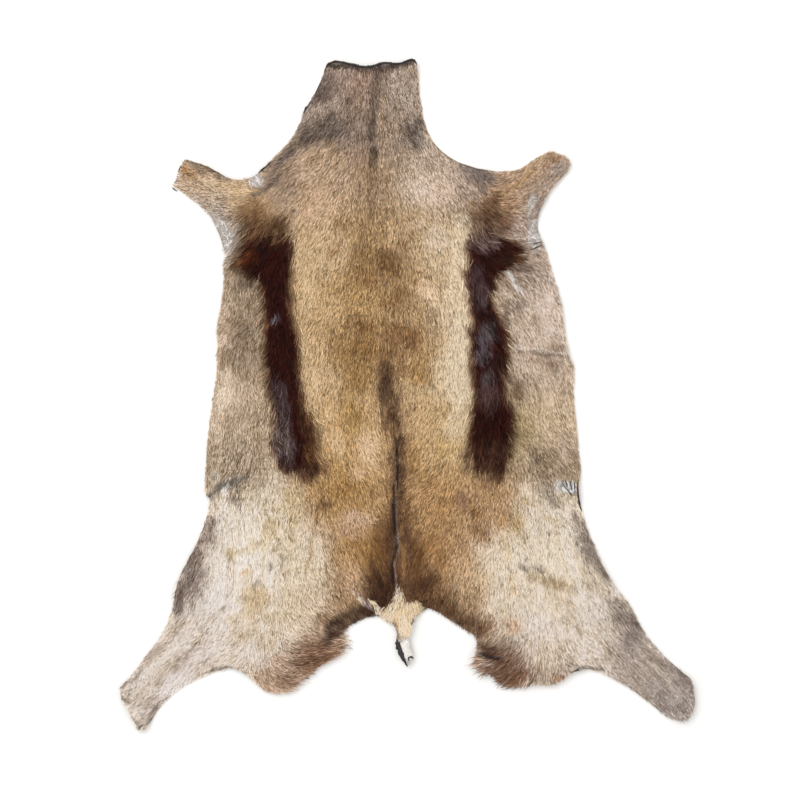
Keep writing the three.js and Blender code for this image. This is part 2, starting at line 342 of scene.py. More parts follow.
# The coat's colours, as they look in soft light. The ground blends from place to place
coatGround = table(
    "x y colour",
    # Neck
    (-104, 465, "#98867A"), (-68, 462, "#8E7869"), (-6, 455, "#A19183"), (-116, 424, "#A59589"),
    (-76, 400, "#8B786B"), (-22, 392, "#9C8977"),
    # Shoulders and withers
    (-128, 345, "#BAA288"), (-192, 318, "#9C8774"), (-134, 290, "#CAAF91"), (-50, 318, "#A0876C"),
    (30, 345, "#AE9C8B"), (26, 318, "#D8C7B5"), (96, 314, "#AA988A"),
    # Back, from the shoulders down
    (-120, 225, "#CBB28E"), (-56, 240, "#A2855F"), (2, 250, "#B29978"), (60, 215, "#CDB899"),
    (-136, 130, "#C4A87F"), (-66, 150, "#AB8C60"), (8, 160, "#A78B66"), (80, 140, "#DDC9AB"),
    (-92, 62, "#997A4E"), (14, 66, "#A98C64"), (-138, 40, "#CFB590"), (82, 40, "#ECDBBD"),
    (-112, -60, "#BC9D70"), (22, -60, "#CBAE85"), (72, -60, "#C9B086"),
    # Loin and rump
    (-100, -150, "#AC8A5C"), (50, -156, "#B18E62"), (122, -160, "#AD8D68"), (-70, -236, "#A07B4B"),
    (46, -236, "#A07B50"), (-40, -292, "#56361B"), (40, -286, "#8C6A47"), (-92, -300, "#A58869"),
    (94, -318, "#B1936F"),
    # Right haunch's inner side
    (104, -286, "#C7AC8A"), (140, -308, "#F2E6D2"), (180, -314, "#ECE1CF"),
    # Flanks
    (-252, 158, "#A3907B"), (-256, 70, "#A08D77"), (-256, -30, "#B7A48E"), (-262, -100, "#AA9884"),
    (190, 172, "#A99789"), (212, 146, "#D9CABD"), (206, 100, "#C0AF9F"), (206, 32, "#BBA997"),
    (214, -44, "#C6B39A"), (174, -50, "#A6936F"), (222, -102, "#9C8974"),
    # Left haunch, fringe and hind leg
    (-232, -186, "#E8DDCA"), (-226, -262, "#EAE1D2"), (-156, -262, "#EFE2CB"), (-226, -366, "#F6EDE0"),
    (-150, -320, "#E0CFB6"), (-288, -290, "#DDD5CC"), (-140, -392, "#8A6A54"), (-205, -424, "#B0967F"),
    (-236, -386, "#F4EADC"), (-336, -386, "#D6CBBF"), (-404, -462, "#D6CBC1"),
    # Right haunch, fringe and hind leg
    (200, -196, "#DBCFBB"), (136, -268, "#F0E3CC"), (208, -232, "#EEE4D2"), (214, -292, "#CDBFAA"),
    (196, -352, "#EAE0D4"), (284, -306, "#DAD0C4"), (150, -400, "#725340"), (212, -390, "#E0D0BC"),
    (256, -372, "#E6DCCF"), (234, -424, "#B5A598"), (348, -392, "#ADA097"), (400, -460, "#A0958E"),
    # Forelegs, elbows and armpits
    (-300, 316, "#D0B89C"), (-300, 286, "#B5A595"), (-248, 308, "#D3BB9E"), (-232, 286, "#93764F"),
    (196, 340, "#B69B80"), (214, 318, "#A79688"), (136, 290, "#A18262"), (-272, 236, "#AFA49A"),
    (192, 250, "#A8978B"),
)
# Marks laid over the ground, and over each other from first to last
coatMarks = table(
    "x y wide tall turn colour",
    # Neck: smudges, and a fold at the right
    (-124, 466, 34, 60, -20, "#7A6A60"), (-142, 440, 22, 90, -24, "#6A5D56"),
    (-80, 452, 40, 80, 0, "#97806F"), (-34, 482, 50, 40, 0, "#6A554A"),
    (-146, 388, 90, 60, 24, "#544741"), (-108, 398, 74, 56, 10, "#675951"),
    (-130, 450, 36, 50, -24, "#5F5046"), (8, 394, 68, 74, -30, "#655953"),
    (18, 412, 40, 16, -30, "#5F544D"), (24, 376, 46, 34, -30, "#857870"),
    # Withers and shoulders
    (-76, 352, 50, 50, 0, "#A38B77"), (-96, 320, 50, 60, 0, "#B8A189"),
    (-180, 356, 90, 34, 42, "#5E534D"), (-200, 326, 50, 30, 30, "#857364"),
    (110, 331, 84, 48, -26, "#665B56"), (96, 338, 60, 22, -20, "#7D7068"),
    (112, 310, 14, 40, 24, "#75665B"), (52, 304, 60, 40, -20, "#D0BCAA"),
    # Upper back
    (-88, 250, 40, 60, 10, "#A98D69"), (-66, 202, 60, 76, 0, "#8F7149"),
    (-26, 196, 70, 70, 10, "#73522F"), (20, 256, 40, 36, 0, "#D5C0A7"), (42, 234, 52, 60, 0, "#E0CFBA"),
    (-100, 250, 40, 44, 0, "#91714D"), (-106, 218, 34, 44, 0, "#9F815D"), (-4, 226, 40, 40, 0, "#9A7B59"),
    # Back
    (-150, 160, 34, 130, 4, "#DBC39D"), (-56, 170, 60, 50, 0, "#8A6A45"),
    (-18, 146, 60, 70, 0, "#83623E"), (-64, 104, 84, 44, 0, "#7E5D39"), (42, 108, 34, 70, 6, "#A48E71"),
    (34, 152, 50, 70, 10, "#E6CFB0"),
    # Middle back
    (-64, 70, 84, 64, 0, "#8F6D43"), (-70, 20, 70, 60, 10, "#9E7B4D"), (-20, 90, 60, 50, 0, "#9C7A54"),
    (20, 30, 50, 60, 0, "#A88657"), (6, 80, 44, 54, 0, "#83623D"),
    # Lower back: pale bands and ochre
    (-84, -30, 40, 90, 8, "#A98A58"), (-58, -78, 54, 84, 10, "#E6CCA8"),
    (-104, -76, 40, 70, -6, "#DCC199"), (-106, -110, 40, 50, 0, "#B4925F"),
    (-130, -66, 22, 60, 0, "#6C5139"), (8, -100, 50, 90, 0, "#B39060"), (50, -80, 40, 60, 0, "#C6AA7A"),
    # Loin
    (-92, -140, 60, 40, 0, "#9C794A"), (-72, -188, 84, 44, 8, "#CBB096"),
    (-78, -208, 70, 36, 0, "#C3A384"), (-94, -246, 60, 60, 0, "#B3936A"),
    (84, -156, 36, 40, 0, "#92715A"), (102, -178, 44, 46, 0, "#92704A"),
    (122, -134, 40, 20, 0, "#8D6B4D"), (146, -160, 40, 30, 0, "#CBAD8C"), (84, -96, 30, 60, 0, "#7B6049"),
    (146, -186, 44, 56, 0, "#B4936A"), (108, -204, 44, 48, 0, "#876745"),
    # Rump, dark beside the tail
    (74, -214, 60, 70, 0, "#B5956E"), (-84, -270, 60, 60, 0, "#C6A886"),
    (-65, -321, 46, 26, 20, "#432A1D"), (82, -254, 50, 70, 0, "#C9AB87"),
    (62, -262, 36, 50, 0, "#B08E64"), (-38, -230, 46, 150, -4, "#694723"),
    (12, -240, 50, 140, 4, "#654322"), (-2, -215, 22, 170, 2, "#4E332B"),
    (-34, -284, 60, 100, 14, "#381F0F"), (22, -286, 66, 90, -24, "#3E2311"),
    # Right haunch's inner edge, and the two fringes
    (118, -346, 40, 50, 20, "#B39070"), (158, -348, 50, 40, -20, "#D2B598"),
    (-116, -362, 66, 34, 34, "#3A2112"), (-128, -338, 50, 44, 30, "#8E7054"),
    (-170, -436, 60, 12, 20, "#8B6E5C"), (-150, -398, 60, 30, 34, "#7C5F49"),
    (-182, -430, 60, 28, 20, "#7D6250"), (-186, -396, 50, 16, 20, "#C0A58E"),
    (122, -380, 60, 26, -30, "#54392A"), (120, -403, 24, 12, 0, "#9A8A83"),
    (166, -422, 90, 34, 0, "#6E4C35"), (226, -424, 36, 22, 20, "#9C7C64"),
    # Left flank
    (-240, 92, 50, 40, 14, "#8C7967"), (-272, 80, 44, 40, 0, "#CDB8A6"), (-274, 26, 36, 40, 0, "#CFBEAA"),
    (-272, 122, 40, 50, 0, "#C0AC99"), (-250, 50, 80, 40, -8, "#9A8874"),
    (-273, -4, 50, 76, -6, "#DDCDB8"), (-288, -50, 16, 90, 6, "#C9B8A6"),
    (-224, -60, 24, 120, 6, "#A8957A"), (-266, -140, 70, 26, 22, "#7B7470"),
    (-286, -128, 24, 20, 10, "#B5ABA0"),
    # Round the stripes' feet
    (-116, -28, 34, 54, 0, "#DFC298"), (240, -84, 26, 64, 0, "#C5B2A1"),
    (-124, -108, 36, 34, 0, "#72553A"), (-120, -160, 34, 44, 0, "#7A5C40"),
    (-76, -116, 46, 40, 0, "#D5B792"),
    # Below the left flank, and painted shade under the left hook
    (-254, -160, 50, 24, 20, "#8F8378"), (-250, -128, 40, 16, 20, "#7F746B"),
    (-243, 164, 48, 34, 12, "#6C5C4E"), (-274, 204, 24, 24, 0, "#A3907F"),
    # Right flank, down to its tear
    (156, 146, 24, 30, 16, "#B9A996"), (149, 120, 18, 70, -4, "#7E6B5E"),
    # The mark at (172, 188) is painted shade under the right stripe's hook
    (222, 68, 44, 22, -8, "#96826F"), (172, 188, 50, 28, 0, "#726158"),
    (214, 146, 44, 44, -14, "#D8CABD"), (168, 130, 44, 40, 0, "#98867A"),
    (226, 150, 24, 80, 18, "#A69589"), (212, 47, 76, 30, -8, "#8F7966"), (160, 6, 34, 80, 0, "#745C46"),
    (196, 0, 10, 70, 4, "#94816A"), (214, -8, 40, 44, 0, "#D2C0A7"), (194, -96, 36, 56, 14, "#7E6C58"),
    (182, -144, 44, 50, 26, "#E6D6C0"), (214, -152, 30, 80, 34, "#93867A"),
    (256, -190, 24, 60, 24, "#9C8B7F"), (228, -134, 40, 26, 0, "#CBC7C3"),
    # Right haunch
    (168, -196, 40, 60, 10, "#C0A67F"), (212, -280, 80, 28, -20, "#B8A486"),
    (222, -296, 34, 22, -14, "#D8CBB8"), (210, -212, 24, 36, 0, "#EFE6D8"),
    (290, -312, 30, 44, 24, "#E9DFD3"), (116, -274, 30, 44, -8, "#E0CBAB"),
    (246, -336, 40, 60, -30, "#B9A995"),
    # Left haunch and hind leg
    (-170, -180, 24, 80, -6, "#DCCBAB"), (-300, -196, 30, 50, -22, "#A59A8F"),
    (-172, -156, 60, 44, 10, "#C6B292"), (-232, -306, 84, 60, -20, "#BFAA89"),
    (-182, -354, 70, 50, 24, "#E6D9C4"), (-254, -362, 60, 44, 30, "#CDBCA3"),
    (-206, -204, 44, 60, -20, "#CBB999"), (-292, -244, 26, 170, -8, "#EFE7DB"),
    (-318, -350, 50, 50, -30, "#E8DACB"), (-358, -362, 24, 70, -40, "#E8DCCD"),
    (-336, -400, 30, 90, -42, "#B9ABA0"), (-384, -402, 20, 40, -42, "#BBAC9E"),
    (-406, -426, 24, 64, -42, "#95877D"), (-384, -474, 20, 56, -34, "#8F8178"),
    (-412, -474, 20, 40, 10, "#D6CBBE"),
    # Right haunch's rim and hind leg
    (270, -232, 44, 130, 24, "#7D6F67"), (290, -262, 24, 70, 28, "#786A61"),
    (322, -330, 64, 90, 30, "#83756C"), (332, -372, 56, 44, 40, "#857870"),
    (340, -344, 34, 60, 28, "#6E635E"), (318, -302, 26, 10, 40, "#E4DAD2"),
    (362, -376, 16, 10, 0, "#D9CEC6"), (384, -402, 22, 90, 44, "#8F8278"),
    (348, -420, 34, 90, 52, "#A3958B"), (416, -424, 24, 44, 0, "#81756F"),
    (382, -464, 34, 34, 40, "#867A73"),
    # Left foreleg and elbow
    (-292, 331, 116, 26, -22, "#7C6855"), (-322, 332, 44, 20, -20, "#A88863"),
    (-256, 305, 80, 24, -12, "#D0B894"), (-314, 294, 84, 22, -32, "#B4A497"),
    (-276, 274, 50, 30, -40, "#A79A90"), (-226, 270, 96, 56, 0, "#7E5B38"),
    (-220, 246, 92, 44, 0, "#5C3A20"), (-190, 252, 60, 50, -10, "#65462B"),
    # Right foreleg, elbow and armpit
    (170, 318, 80, 16, 36, "#BC9D74"), (218, 350, 40, 14, 30, "#8D6B4E"),
    (228, 336, 30, 44, -36, "#A0938A"), (200, 284, 20, 44, -12, "#85776D"),
    (126, 284, 76, 44, 42, "#664730"), (124, 260, 96, 48, 14, "#472B19"),
    (144, 246, 44, 26, 0, "#5C4439"), (88, 262, 48, 50, 0, "#6C523C"), (146, 258, 40, 34, 0, "#6E4F3A"),
    (194, 238, 24, 60, 4, "#C3B9B3"),
    # Tail
    (-4, -328, 44, 50, 0, "#D8C2A0"), (0, -370, 34, 76, 0, "#DAD5CE"),
)
# Small mottles of brown and grey on the haunches, and ticks on the shoulder
mottles = table(
    "x y wide tall turn colour",
    # Left haunch
    (-206, -258, 10, 22, -34, "#7B6E5E"), (-189, -254, 10, 34, 6, "#85786A"),
    (-181, -272, 8, 28, 6, "#9A8B76"), (-212, -168, 10, 26, -24, "#A28F70"),
    (-198, -176, 8, 22, -20, "#B5A283"), (-194, -218, 9, 40, 16, "#B09C7C"),
    (-200, -238, 20, 12, 10, "#B9A788"), (-244, -268, 30, 20, 20, "#C0A57F"),
    (-266, -244, 9, 26, 20, "#A39478"), (-250, -232, 34, 8, 8, "#BDAE94"),
    (-226, -226, 40, 10, -6, "#C4B393"), (-228, -284, 18, 30, -34, "#A3968A"),
    (-240, -304, 18, 16, -20, "#AFA08C"), (-272, -317, 18, 12, 0, "#A2958A"),
    (-244, -326, 90, 30, 36, "#D2C3AB"), (-190, -330, 70, 30, 0, "#D3C4A8"),
    (-120, -262, 10, 40, -10, "#A5875C"), (-186, -170, 60, 30, 10, "#D9C9AC"),
    (-300, -218, 24, 7, 24, "#6F665F"), (-266, -200, 8, 60, -6, "#F0EADF"),
    (-290, -206, 26, 6, 36, "#F4EFEA"), (-300, -262, 12, 90, -8, "#C2B7AB"),
    (-232, -150, 7, 16, 10, "#7C7264"), (-244, -180, 20, 60, 0, "#E8DECF"),
    (-174, -150, 40, 24, 10, "#C8B491"), (-258, -290, 20, 60, 0, "#E3D9CA"),
    (-284, -240, 20, 50, -10, "#E0D7CB"), (-214, -300, 16, 40, -20, "#CABA9E"),
    (-176, -300, 24, 60, -8, "#DFD0B3"), (-262, -372, 30, 40, 30, "#E2D8C9"),
    # Right haunch
    (174, -264, 12, 18, 30, "#7D7267"), (182, -250, 12, 14, -30, "#958A7D"),
    (196, -264, 16, 14, -20, "#80756B"), (206, -272, 20, 10, 0, "#9C8C77"),
    (226, -282, 50, 16, -10, "#B9A58A"), (204, -284, 30, 14, 10, "#B4A084"),
    (156, -284, 12, 40, -20, "#CFBB9A"), (256, -352, 22, 20, -20, "#A4937C"),
    (240, -314, 40, 16, -10, "#BFAF98"), (216, -320, 30, 24, 0, "#D8CCB8"),
    (182, -216, 9, 40, 6, "#AEA08C"), (210, -228, 8, 50, -4, "#BFB29E"),
    (230, -226, 12, 40, 8, "#E2D9C8"), (196, -200, 16, 40, 0, "#E3D9C8"),
    (184, -158, 50, 9, -42, "#AE9366"), (210, -186, 40, 9, -36, "#B8A074"),
    (164, -166, 10, 40, 20, "#CDBB98"), (150, -232, 20, 60, 0, "#DCCAA8"),
    (262, -330, 30, 60, 10, "#C9BEB0"), (288, -332, 10, 70, 16, "#D5CBC1"),
    # Right shoulder
    (64, 274, 20, 7, -10, "#8A6F52"), (86, 277, 30, 8, -4, "#77593F"),
    (74, 264, 24, 7, -16, "#7E6246"), (100, 266, 26, 9, -8, "#6F5038"),
    (52, 282, 18, 6, -24, "#98805F"), (98, 284, 22, 7, -14, "#8C7155"),
    (60, 254, 22, 6, -10, "#96805F"), (30, 262, 22, 7, -16, "#A48D6C"),
    (40, 236, 34, 5, -8, "#AE997A"), (66, 240, 30, 5, -6, "#B39F82"),
    (52, 222, 36, 4, -8, "#B7A385"), (26, 246, 24, 5, -20, "#A99271"),
    # Back and neck
    (-60, 250, 14, 34, 10, "#957B5D"), (-86, 236, 12, 30, 14, "#A38863"),
    (-88, 440, 12, 10, 0, "#65564D"), (-112, 452, 14, 20, -20, "#77685F"),
    (-96, 366, 30, 10, 30, "#8E7C6E"), (10, 372, 30, 8, -40, "#5F544E"),
    (-166, 272, 14, 8, 50, "#6C5F55"), (-44, 236, 16, 50, 0, "#9D8260"),
)
# Drawn lines of colour
coatStrokes = table(
    "line wide amount colour",
    ([(-42, 494), (-48, 455), (-50, 420), (-53, 380)], 17, 0.7, "#5B4C40"),  # spine
    ([(-50, 425), (-53, 385)], 9, 0.5, "#453930"),  # spine, dark
    ([(-52, 368), (-53, 346)], 18, 0.95, "#382D25"),  # withers
    ([(-54, 350), (-50, 318), (-56, 270)], 24, 0.5, "#836A51"),  # withers, below
    ([(-38, 440), (-36, 380), (-34, 340)], 14, 0.5, "#A99277"),  # neck, tan line
    ([(-122, 492), (-60, 486), (-20, 490), (12, 498)], 9, 0.9, "#2A211C"),  # neck's edge
    ([(-130, 478), (-154, 430)], 9, 0.7, "#4F453F"),  # neck's left edge
    ([(-158, 250), (-156, 120), (-146, 20), (-122, -70)], 20, 0.5, "#D2BA95"),  # beside the left stripe
    ([(80, 262), (78, 150), (79, 20), (74, -56)], 46, 0.5, "#F0E2C8"),  # beside the right stripe
    ([(-230, 297), (-208, 312), (-190, 330)], 9, 0.7, "#6E6259"),  # shade at the left foreleg
    ([(-334, 351), (-302, 341), (-262, 325)], 7, 0.8, "#4E3E33"),  # left foreleg's top line
    ([(-340, 346), (-332, 338)], 16, 0.7, "#8A6238"),  # left foreleg's corner
    ([(154, 80), (168, 70), (196, 67), (245, 61)], 4, 0.9, "#E2D6CA"),  # pleat
    ([(170, 65), (196, 61), (244, 55)], 6, 0.7, "#836E5E"),  # pleat's shade
    ([(152, 184), (162, 166), (174, 148)], 5, 1, "#FFFDFA"),  # scratch
    ([(157, 172), (167, 152)], 4, 0.9, "#F4EEE8"),  # scratch beside
    ([(134, 170), (144, 156), (150, 146)], 4, 0.7, "#E6DED6"),  # faint scratch
    ([(128, 162), (138, 150)], 3, 0.5, "#D5CBC2"),  # fainter scratch
    ([(126, 150), (134, 128), (144, 104)], 3, 0.6, "#A99A92"),  # stripe's pale edge hair
    ([(-134, -170), (-138, -205), (-146, -232)], 9, 0.55, "#9C7D54"),  # left haunch's brown line, painted shade along a wrinkle
    ([(-142, -236), (-150, -262)], 12, 0.6, "#A78A60"),  # left haunch's brown line, low, painted shade along a wrinkle
    ([(-130, -158), (-136, -178), (-134, -194)], 6, 0.75, "#6E5537"),  # left haunch's crease, painted shade
    ([(-227, -150), (-206, -187), (-191, -240), (-186, -270)],
     5, 0.6, "#9B8767"),  # left haunch, long crease, painted shade
    ([(-168, -150), (-172, -190), (-178, -226)], 34, 0.5, "#C7B391"),  # left haunch, tan between
    ([(-272, -238), (-244, -236), (-214, -228)], 16, 0.5, "#C6B593"),  # left haunch, tan across
    ([(-232, -300), (-214, -340), (-206, -372)], 44, 0.5, "#C4AF8D"),  # left haunch, tan wedge
    ([(-270, -130), (-276, -170), (-284, -204)], 16, 0.6, "#F3ECE2"),  # left haunch, silver
    ([(-252, -136), (-248, -152), (-250, -166)], 9, 0.6, "#85776A"),  # left haunch, brown by the silver
    ([(-296, -322), (-340, -370), (-404, -432)], 14, 0.6, "#EDE3D8"),  # left leg, pale band
    ([(-338, -342), (-358, -366), (-392, -398)], 16, 0.6, "#9A8879"),  # left leg, brown band
    ([(-318, -372), (-352, -410), (-392, -466)], 10, 0.5, "#A39386"),  # left leg, lower brown
    ([(156, -176), (172, -206), (178, -238)], 10, 0.5, "#B19A74"),  # right haunch, tan streak
    ([(222, -190), (230, -226), (240, -262)], 8, 0.5, "#BCA98A"),  # right haunch, tan streak, outer
    ([(180, -272), (214, -282), (250, -296)], 20, 0.5, "#AA9577"),  # right haunch, tan across
    ([(232, -210), (250, -262), (268, -320)], 12, 0.5, "#F0E8DC"),  # right haunch, pale streak
    ([(164, -256), (184, -262), (202, -266)], 8, 0.6, "#857A70"),  # right haunch, grey ticks
    ([(-178, -186), (-172, -206), (-174, -226)], 5, 0.4, "#A48B68"),  # left haunch, second crease, painted shade
    ([(-302, -150), (-288, -142), (-262, -131)], 10, 0.85, "#3A3534"),  # left flank, black
    ([(-303, -153), (-290, -148)], 5, 1, "#191514"),  # left flank, tear line
    ([(-268, -170), (-272, -230), (-286, -310), (-330, -380)],
     9, 0.6, "#EAE3D9"),  # left haunch, long pale line
    ([(-306, -204), (-322, -252), (-334, -296)], 60, 0.85, "#87756B"),  # left rim
    ([(-316, -236), (-331, -272), (-340, -304), (-343, -324)], 22, 0.7, "#5F5047"),  # left rim, dark
    ([(-304, -216), (-316, -256), (-324, -300)], 22, 0.5, "#8A7A70"),  # left rim, inner
    ([(-300, -230), (-314, -280), (-322, -330)], 7, 0.4, "#A3968C"),  # left rim's streak
    ([(-330, -366), (-372, -402), (-420, -442)], 12, 0.7, "#E0D7CD"),  # left hind leg, pale
    ([(-380, -420), (-412, -452)], 8, 0.6, "#E0D8CE"),  # left hind leg, pale below
    ([(-350, -440), (-386, -490)], 8, 0.5, "#85786F"),  # left leg's lower edge
    ([(-428, -453), (-416, -461)], 5, 0.9, "#2C2521"),  # ticks at its end
    ([(-404, -500), (-397, -494)], 5, 0.9, "#3A312C"),  # ticks at its tip
    ([(-430, -442), (-412, -424)], 6, 0.7, "#6D6159"),  # left leg's top edge
    ([(-300, -416), (-268, -408), (-240, -419)], 7, 0.7, "#5E5550"),  # left hock
    ([(240, -404), (262, -410), (292, -413)], 8, 0.7, "#6F6660"),  # right hock
    ([(352, -392), (384, -422), (408, -456)], 11, 0.7, "#C3B8AD"),  # right hind leg, pale
    ([(404, -412), (426, -430), (430, -462)], 7, 0.7, "#6F6662"),  # right hind leg's edge
    ([(268, -194), (286, -236), (303, -276)], 26, 0.7, "#786A60"),  # right rim, dark line
    ([(-8, 84), (-24, 30), (-16, -30), (-12, -100), (-14, -160), (-14, -256)],
     66, 0.6, "#755231"),  # back fold's warmth
    ([(-44, -316), (-74, -328), (-114, -352)], 42, 0.9, "#351B0D"),  # rump's lower edge, left
    ([(30, -314), (68, -329), (104, -354)], 38, 0.8, "#3B2110"),  # rump's lower edge, right
    ([(30, -304), (66, -318), (104, -344)], 70, 0.4, "#553722"),  # shade over it
    ([(112, -389), (124, -392), (142, -394)], 7, 1, "#15121A"),  # painted shadow in a gap in the right fringe
    ([(-84, -294), (-70, -304), (-56, -317)], 6, 0.8, "#B7A3A6"),  # wrinkle left of the tail
    ([(-80, -342), (-62, -334), (-42, -328)], 7, 0.9, "#1A1216"),  # edge left of the tail
    ([(24, -300), (60, -314), (112, -348)], 30, 0.35, "#6A482C"),  # rump's shade, right
)
# Along the back's fold: painted shade in its brown band, dark streaks and crease lines, with reddish and pale
# hair and the lip between
foldStrokes = table(
    "line wide amount colour",
    ([(-31, 38), (-31, 10), (-26, -14), (-19, -36), (-15, -60), (-14, -100),
     (-13, -140), (-16, -180), (-24, -230), (-18, -276)], 30, 0.85, "#452917"),  # fold's brown band, painted shade
    ([(-43, 14), (-40, -8), (-37, -30), (-33, -52)], 8, 0.55, "#553522"),  # left streak of painted shade
    ([(-32, -56), (-27, -90), (-23, -126)], 5, 0.5, "#5E3D28"),  # left streak of painted shade, low
    ([(-31, 36), (-33, 16), (-34, -6)], 9, 0.75, "#321E15"),  # right streak of painted shade
    ([(-29, -24), (-24, -60)], 9, 0.4, "#59341F"),  # reddish hair
    ([(-27, -44), (-23, -84)], 4, 0.5, "#A07C56"),  # hair between
    ([(-17, -66), (-15, -80), (-14, -101), (-15, -126), (-15, -142)], 6, 1, "#1C0E0B"),  # main crease, painted shade
    ([(-21, -136), (-20, -170), (-18, -208), (-15, -226), (-23, -256), (-20, -288)],
     6, 1, "#23120E"),  # left crease, painted shade
    ([(-17, -130), (-16, -152), (-15, -196), (-11, -227), (-19, -252), (-16, -286)],
     3.2, 0.75, "#8B756C"),  # lip
)
stripeGround = "#2F0F08"
stripeMarks = table(
    "x y wide tall turn colour",
    # Left stripe: brown hook and edges, glints and cool sheen
    (-236, 206, 50, 36, 0, "#502713"), (-247, 203, 26, 16, 20, "#6B4227"),
    (-216, 244, 90, 40, 0, "#5E3A1F"), (-192, 240, 40, 44, 0, "#472A18"),
    (-212, 90, 14, 160, 0, "#4A2A1B"), (-200, 111, 5, 10, 10, "#8D8A92"),
    (-194, 113, 4, 9, 10, "#7D7A84"), (-206, 104, 8, 30, 0, "#5A361F"),
    (-190, -10, 30, 100, 8, "#4A3A3B"), (-186, -70, 44, 90, 8, "#7E6E6E"),
    # Right stripe's sheen
    (114, 146, 26, 50, 0, "#5E4B4D"), (122, -4, 44, 56, 0, "#523A38"),
    # Left stripe's inner edge and foot
    (-156, -40, 22, 110, 12, "#472B1B"), (-144, -90, 28, 56, 6, "#583B23"),
    (-160, -116, 60, 22, 6, "#5A4234"),
    # Right stripe, with painted cool sheen down its middle
    (114, 236, 76, 44, 0, "#665150"), (164, 208, 26, 20, 10, "#563520"),
    (146, 204, 56, 18, 10, "#321B11"), (106, 168, 36, 90, 0, "#4A3637"),
    (122, 92, 38, 60, -10, "#5B5054"), (118, 60, 34, 44, -20, "#5A4F54"),
    (122, 22, 30, 44, -20, "#4E4142"), (140, 40, 26, 70, 0, "#2B1712"), (126, -92, 70, 70, 0, "#42291D"),
    (94, -50, 16, 120, 0, "#563D2B"), (120, -118, 60, 24, 0, "#5A4030"),
)
# Where the hair is short, thin or worn off and the skin shows
barePatches = table(
    "x y wide tall turn worn",
    (-273, 241, 46, 88, 18, 1),  # left armpit
    (-290, 262, 38, 80, 40, 0.75),  # left armpit's rim
    (189, 244, 44, 96, -4, 1),  # right armpit
    (184, 284, 26, 46, -20, 0.85),  # right armpit, high
    (-222, 321, 50, 48, 0, 1),  # left shoulder's fold
    (-344, 324, 22, 44, -20, 0.7),  # left foreleg's end
    (-294, -152, 34, 12, 24, 0.8),  # left flank's tear
    (240, -136, 50, 30, -30, 1),  # right flank's tear
    (-256, -410, 40, 14, -14, 0.8),  # left hock
    (260, -408, 44, 12, -8, 0.8),  # right hock
    (0, -384, 46, 74, 0, 1),  # tail's end
    (-60, 500, 170, 14, 0, 0.6),  # neck's edge
    (162, 167, 6, 40, 30, 0.7),  # scratch
    (208, 66, 80, 5, -8, 0.6),  # pleat
)
# Where the hair lies smooth, in long bands of light and dark
silkyPlaces = table(
    "x y wide tall turn",
    (-250, -270, 170, 240, -10),  # left haunch
    (-370, -410, 160, 130, 40),  # left hind leg
    (230, -280, 190, 230, 10),  # right haunch
    (370, -410, 160, 120, -40),  # right hind leg
    (-260, 30, 90, 260, 0),  # left flank
    (206, 40, 80, 280, 0),  # right flank
    (-220, 290, 120, 80, 0),  # left shoulder
    (-10, -250, 230, 140, 0),  # rump
)


def blended(rows, near=26.0):
    # The ground colours, each strongest at its own place
    total, colours = 0, 0
    for row in rows:
        weight = 1 / ((gridX - row["x"]) ** 2 + (gridY - row["y"]) ** 2 + near**2) ** 2.2
        colours = colours + weight[..., None] * linear(row["colour"])
        total = total + weight
    return colours / total[..., None]


silky = np.minimum(sum(inPatch({**row, "soft": 0.8}) for row in silkyPlaces), 1)
paint = {
    "clouds": [(30, 17, 0.09), (12, 18, 0.12), (6, 25, 0.06)],  # size in mm, seed and strength
    "cloudTint": (0.85, 1.0, 1.3),  # a dark cloud is also a warmer one
    "bands": 0.05,
    "silkyBands": 0.16,
    "marks": 0.9,  # how strongly each kind of mark covers the ground
    "mottles": 0.8,
    "paleFrom": 0.4,  # the brightness at which hair starts to count as pale
    "paleOver": 0.3,
    "paleLift": (0.14, 0.16, 0.22),
    "mingled": "#4F3A28",
}


